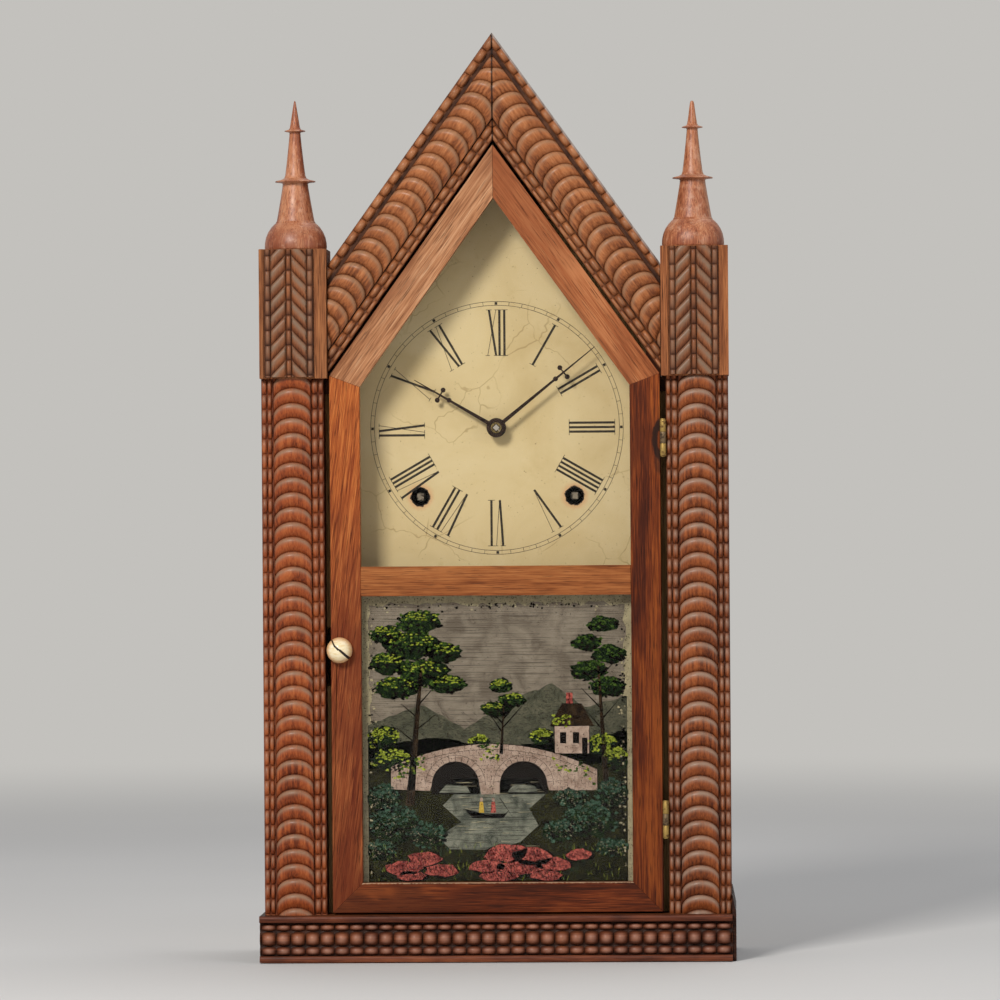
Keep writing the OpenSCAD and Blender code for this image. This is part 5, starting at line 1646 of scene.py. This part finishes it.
def shape(layer, paint_name, points):
    kept = []
    for x, z in points:
        spot = (min(max(x, -PIC_X), PIC_X), min(max(z, PIC_LOW), PIC_HIGH))
        if not kept or math.hypot(spot[0] - kept[-1][0], spot[1] - kept[-1][1]) > 0.05:
            kept.append(spot)
    if math.hypot(kept[0][0] - kept[-1][0], kept[0][1] - kept[-1][1]) <= 0.05:
        kept.pop()
    area = sum(a[0] * b[1] - b[0] * a[1] for a, b in zip(kept, kept[1:] + kept[:1])) / 2
    if len(kept) > 2 and abs(area) > 0.02:
        front, back = layer_y(layer)
        prism(picture, kept, front, back, PAINT_INDEX[paint_name])


def patch(layer, paint_name, x, z, half_x, half_z, rough, count):
    points = []
    for k in range(count):
        a = 2 * math.pi * k / count
        r = 1 + rough * chance.uniform(-1, 1)
        points.append((x + half_x * r * math.cos(a), z + half_z * r * math.sin(a)))
    shape(layer, paint_name, points)


def leafy(x, z, half_x, half_z, lights, leaf="green", warm="lime"):
    patch("masses", "deep", x, z, half_x, half_z, 0.16, 30)
    for _ in range(int(half_x * half_z)):
        a, r = chance.uniform(0, 2 * math.pi), math.sqrt(chance.uniform(0, 1.12))
        size = chance.uniform(0.5, 1.25)
        px, pz = x + half_x * r * math.cos(a), z + half_z * r * math.sin(a)
        lit = chance.random() < 0.5 + 0.4 * math.sin(a) - 0.15 * math.cos(a)
        patch("leaves", leaf if lit else "black", px, pz, size, 0.7 * size, 0.45, 8)
    for _ in range(lights):
        a, r = chance.uniform(0.2, 2.9), math.sqrt(chance.uniform(0, 0.95))
        size = chance.uniform(0.3, 0.75)
        patch("lights", warm, x + half_x * r * math.cos(a), z + half_z * r * math.sin(a),
              size * 1.2, 0.6 * size, 0.4, 6)


def line(x0, z0, x1, z1, width, paint_name="black", layer="lines"):
    length = math.hypot(x1 - x0, z1 - z0)
    nx, nz = -(z1 - z0) / length * width / 2, (x1 - x0) / length * width / 2
    shape(layer, paint_name, [(x0 + nx, z0 + nz), (x1 + nx * 0.3, z1 + nz * 0.3),
                              (x1 - nx * 0.3, z1 - nz * 0.3), (x0 - nx, z0 - nz)])


print("picture helpers ready")

# %% [markdown]
# The sky has a ragged edge, as in such pictures, with the pale margin behind it. Two ridges
# of hills stand before it, hatched with fine strokes, and the stream runs down the middle.

# %% Sky, hills and water
SKY_SIDE, SKY_TOP = 69.5, 193.6

edge = []
for k in range(36):
    edge.append((-SKY_SIDE + 2 * SKY_SIDE * k / 36, SKY_TOP + chance.uniform(-1.6, 1.4)))
for k in range(24):
    edge.append((SKY_SIDE + chance.uniform(-1.6, 1.2), 193 - 102 * k / 24))
for k in range(24):
    edge.append((-SKY_SIDE + chance.uniform(-1.2, 1.6), 91 + 102 * k / 24))
shape("sky", "sky", edge)


def ridge(layer, paint_name, heights, foot, rough):
    top = []
    for (x0, z0), (x1, z1) in zip(heights, heights[1:]):
        for k in range(8):
            t = k / 8
            top.append((x0 + (x1 - x0) * t, z0 + (z1 - z0) * t + chance.uniform(-rough, rough)))
    top.append(heights[-1])
    shape(layer, paint_name, top + [(heights[-1][0], foot), (heights[0][0], foot)])


HILLS = [(-70.5, 128), (-40, 139), (-18, 126), (10, 142), (30, 150), (48, 137), (70.5, 143)]
WOODS = [(-70.5, 117), (-30, 121), (0, 115), (36, 119), (70.5, 124)]
BANKS = [(-70.5, 104), (-40, 107), (-8, 98), (6, 97), (30, 103), (70.5, 109)]

ridge("far", "hill", HILLS, 100, 0.7)
ridge("far", "green", WOODS, 96, 0.9)
ridge("middle", "ground", BANKS, 42, 0.8)
for _ in range(170):
    x = chance.uniform(-69, 66)
    z = chance.uniform(112, 136)
    line(x, z, x + chance.uniform(1.5, 4), z - chance.uniform(1, 3.2), 0.2, "black", "middle")
shape("masses", "water", [(-24, 99), (22, 98), (26, 90), (17, 82), (22, 73), (12, 64), (-2, 60),
                          (-26, 60), (-33, 67), (-20, 75), (-30, 84), (-22, 92)])
for k in range(46):
    z = chance.uniform(61, 97)
    x = chance.uniform(-24, 18)
    line(x, z, x + chance.uniform(3, 9), z + chance.uniform(-0.2, 0.2), 0.3,
         chance.choice(["black", "margin", "margin"]), "lights")
print("faces so far:", len(picture.faces))

# %% [markdown]
# The bridge is one pale shape with two arches cut out of it. Lines draw the parapet, the
# ring of stones round each arch and the courses between them. Ivy hangs over the parapet.

# %% The bridge with its two round arches
RIGHT_ARCH, LEFT_ARCH = 14, -23
SPRING = 95
ARCH_R, RING_R = 13, 16.2


def bridge_top(x):
    return 117.5 - 0.0042 * (x + 4) ** 2


def on_arch(x, radius, angle):
    return x + radius * math.cos(angle), SPRING + radius * math.sin(angle)


def arch_outline(x, radius, count=14):
    return [on_arch(x, radius, math.pi * k / count) for k in range(count + 1)]


def near_arch(x, z, reach):
    return any(math.hypot(x - arch_x, z - SPRING) < reach for arch_x in (RIGHT_ARCH, LEFT_ARCH))


deck = [(x, bridge_top(x)) for x in range(-58, 55, 4)]
shape("leaves", "stone", deck + [(54, 92), (28, 92)] + arch_outline(RIGHT_ARCH, ARCH_R)
      + [(1, 90), (-9, 90)] + arch_outline(LEFT_ARCH, ARCH_R) + [(-37, 92), (-58, 93)])
for x in (RIGHT_ARCH, LEFT_ARCH):
    shape("masses", "black", arch_outline(x, 13.2) + [(x - 13.2, 90), (x + 13.2, 90)])
    shape("lights", "water", [(x - 9, 91), (x + 8, 91), (x + 6, 94.5), (x - 5, 95.5)])
    for k in range(13):
        a = math.pi * (k + 0.5) / 13
        line(*on_arch(x, ARCH_R, a), *on_arch(x, RING_R, a), 0.3)
    outer = arch_outline(x, 16.4)
    for (x0, z0), (x1, z1) in zip(outer, outer[1:]):
        line(x0, z0, x1, z1, 0.25)
print("faces so far:", len(picture.faces))

# %% Parapet, courses and ivy
for (x0, z0), (x1, z1) in zip(deck, deck[1:]):
    line(x0, z0, x1, z1, 0.45)
    line(x0, z0 - 3.1, x1, z1 - 3.1, 0.3)
    line(x0, z0 - 0.1, x0, z0 - 3.1, 0.2)
for row in range(7):
    for k in range(30):
        x = -57 + 3.8 * k + 1.9 * (row % 2)
        z = bridge_top(x) - 3.1 - 2.9 * row
        if z > 92 and x < 53 and not near_arch(x, z, 17.5):
            line(x, z, x, z - 2.8, 0.16)
            line(x, z - 2.8, x + 3.5, z - 2.9, 0.16)
for _ in range(60):
    x = chance.uniform(-56, 52)
    z = bridge_top(x) - chance.uniform(3.5, 20)
    if not near_arch(x, z, 17):
        line(x, z, x + 1.6, z - 1.2, 0.14)
for _ in range(90):
    x = chance.choice([chance.uniform(-57, -40), chance.uniform(30, 53), chance.uniform(-9, 1)])
    leaf = chance.choice(["lime", "green", "green"])
    patch("lights", leaf, x, bridge_top(x) - chance.uniform(0, 9),
          chance.uniform(0.5, 1.3), chance.uniform(0.4, 0.9), 0.4, 8)
print("faces so far:", len(picture.faces))

# %% [markdown]
# Beyond the bridge stands a small cottage with a thatched roof, a chimney, two windows and
# a door. Behind it and at both sides rise the trees, trunk and boughs first, then the
# leaves in clusters.

# %% The cottage
shape("leaves", "stone", [(31, 112), (50, 112), (50, 128), (31, 128)])
shape("lights", "bark", [(28.6, 127), (52.6, 127), (46, 139), (35, 139)])
shape("leaves", "rose", [(37.5, 138), (41, 138), (41, 145), (37.5, 145)])
for x in (34, 41):
    shape("lights", "black", [(x, 117.5), (x + 3.4, 117.5), (x + 3.4, 123.5), (x, 123.5)])
shape("lights", "black", [(46, 112), (48.9, 112), (48.9, 120.5), (46, 120.5)])
for k in range(13):
    line(29.4 + 1.85 * k, 127.2, 35.2 + 0.87 * k, 138.8, 0.25)
for k in range(14):
    z = chance.uniform(113, 126.5)
    x = chance.uniform(31.5, 47)
    line(x, z, x + chance.uniform(0.8, 2.2), z, 0.18)
for ends in ((31, 112, 31, 128), (50, 112, 50, 128), (28.6, 127, 52.6, 127), (35, 139, 46, 139)):
    line(*ends, 0.5)
for _ in range(22):
    patch("lines", "lime", chance.uniform(30, 40), 127 + chance.uniform(-0.5, 6), 0.9, 0.6, 0.4, 8)
print("faces so far:", len(picture.faces))

# %% Trees
def trunk(x, foot, top, lean, width):
    middle = (foot + top) / 2
    shape("leaves", "bark", [
        (x - width, foot), (x + width, foot), (x + width * 0.6 + lean * 0.5, middle),
        (x + width * 0.3 + lean, top), (x - width * 0.3 + lean, top),
        (x - width * 0.6 + lean * 0.5, middle)])
    for k in range(6):
        side = 1 if k % 2 else -1
        z = foot + (top - foot) * (0.45 + 0.09 * k)
        at = x + lean * (z - foot) / (top - foot)
        line(at, z, at + side * chance.uniform(6, 12), z + chance.uniform(6, 12), 0.9, "black", "masses")
    for _ in range(9):
        low_x = x + chance.uniform(-0.6, 0.6) * width
        high_x = x + lean * 0.6 + chance.uniform(-0.3, 0.3) * width
        line(low_x, foot + 1, high_x, foot + (top - foot) * chance.uniform(0.4, 0.9), 0.22)


trunk(-48, 84, 160, 7, 2.4)
for x, z, a, b in ((-55, 148, 12, 6), (-40, 156, 14, 7), (-59, 161, 10, 6), (-27, 150, 10, 5),
                   (-46, 171, 15, 7.5), (-29, 167, 10, 5.5), (-42, 184, 12, 6), (-60, 177, 9, 5)):
    leafy(x, z, a, b, 34)
trunk(59, 96, 160, -4, 1.7)
for x, z, a, b in ((60, 148, 9.5, 5.5), (50, 157, 10, 5.5), (61, 166, 9, 5), (49, 172, 8, 4.6),
                   (58, 182, 8, 4.4)):
    leafy(x, z, a, b, 9, "green", "green")
trunk(2, 112, 138, 1.5, 1.0)
for x, z, a, b in ((-1, 136, 8, 4.2), (8, 141, 7.5, 4), (2, 149, 6, 3.8)):
    leafy(x, z, a, b, 22)
for x, z, a, b in ((-62, 121, 9, 6), (-58, 109, 11, 6), (24, 121, 6.5, 4.4), (57, 117, 8, 5.4),
                   (64, 109, 7, 6.5), (-10, 119, 6, 3)):
    leafy(x, z, a, b, 60, "lime")
print("faces so far:", len(picture.faces))

# %% [markdown]
# The near bank is the darkest part. Bushes close it in at both sides, and flat reddish
# rocks lie along the water, each hatched with short strokes over its black shadow. A small
# boat with two people floats below the arches.

# %% Bushes, rocks and the dark foreground
BUSHES = [(-56, 74, 14, 10), (-38, 68, 10, 7), (-62, 88, 9, 8), (50, 76, 15, 10), (62, 90, 9, 8),
          (33, 70, 9, 6), (40, 88, 10, 5), (-64, 60, 8, 6), (62, 61, 9, 5)]
for x, z, a, b in BUSHES:
    leafy(x, z, a, b, 46, "teal", "teal")
    for _ in range(40):
        patch("lights", "margin", x + a * chance.uniform(-0.8, 0.8), z + b * chance.uniform(-0.7, 0.8),
              0.32, 0.18, 0.3, 6)
ROCKS = [(-52, 50, 10, 3.6), (-40, 55, 9, 4), (-31, 49, 9, 3.4), (-47, 46, 8, 2.6), (4, 58, 12, 5),
         (19, 56, 11, 5), (-6, 51, 10, 3.8), (12, 50, 12, 4.2), (30, 52, 9, 4), (26, 46, 9, 2.8),
         (44, 57, 7, 3), (0, 45.5, 10, 2.6)]
for x, z, a, b in ROCKS:
    patch("leaves", "black", x + 0.6, z - 0.8, a * 1.06, b * 1.1, 0.12, 14)
    patch("lights", "rose", x, z, a, b, 0.16, 14)
    for k in range(16):
        px = x + a * chance.uniform(-0.85, 0.6)
        pz = z + b * chance.uniform(-0.2, 0.85)
        line(px, pz, px + chance.uniform(1, 3.4), z - b * chance.uniform(0, 0.8), 0.26)
for _ in range(420):
    x, z = chance.uniform(-69, 69), chance.uniform(43, 62)
    line(x, z, x + chance.uniform(-1.2, 1.2), z + chance.uniform(1.2, 3.2), 0.22,
         chance.choice(["green", "teal", "lime", "black"]), "lights")
print("faces so far:", len(picture.faces))

# %% The boat with its two people
shape("lights", "black", [(-16, 79.5), (4, 79.5), (6.5, 82), (3, 77), (-14, 77), (-18, 82)])
for x, tone in ((-9, "ochre"), (-2.5, "rose")):
    shape("lights", tone, [(x - 1.5, 80), (x + 1.5, 80), (x + 0.9, 86), (x - 0.9, 86)])
    patch("lights", "stone", x, 87.2, 0.9, 1.1, 0.1, 10)
line(1, 88, 9, 76, 0.4)
print("faces so far:", len(picture.faces))

# %% [markdown]
# Damp behind the pane has loosened the paint along the frame, so small flakes are missing
# there and show the margin or the dark. One plain sheet behind all layers closes the
# picture from the back.

# %% Flaked spots and the backing
FLAKES = 260
SHEET_GAP = 0.2

for _ in range(FLAKES):
    along, side = chance.uniform(-1, 1), chance.choice(["left", "right", "top"])
    inward = abs(chance.gauss(0, 1.6))
    x = {"left": inward - SKY_SIDE, "right": SKY_SIDE - inward, "top": 66 * along}[side]
    z = SKY_TOP - inward if side == "top" else 118 + 72 * along
    patch("lines", chance.choice(["margin", "black"]), x, z,
          chance.uniform(0.2, 0.9), chance.uniform(0.2, 0.8), 0.4, 8)
sheet_half = span("tablet_glass", 0)[1] - SHEET_GAP
sheet_foot = span("tablet_glass", 2)[0] + SHEET_GAP
sheet_top = span("tablet_glass", 2)[1] - SHEET_GAP
sheet_front = layer_y("sky")[1] + LAYER_GAP
prism(picture, [(-sheet_half, sheet_foot), (sheet_half, sheet_foot), (sheet_half, sheet_top),
                (-sheet_half, sheet_top)], sheet_front, sheet_front + 0.1, PAINT_INDEX["margin"])
tablet = keep("tablet_picture", picture, "door", PAINTS["margin"], 40)
for name in list(PAINTS)[1:]:
    tablet.data.materials.append(PAINTS[name])
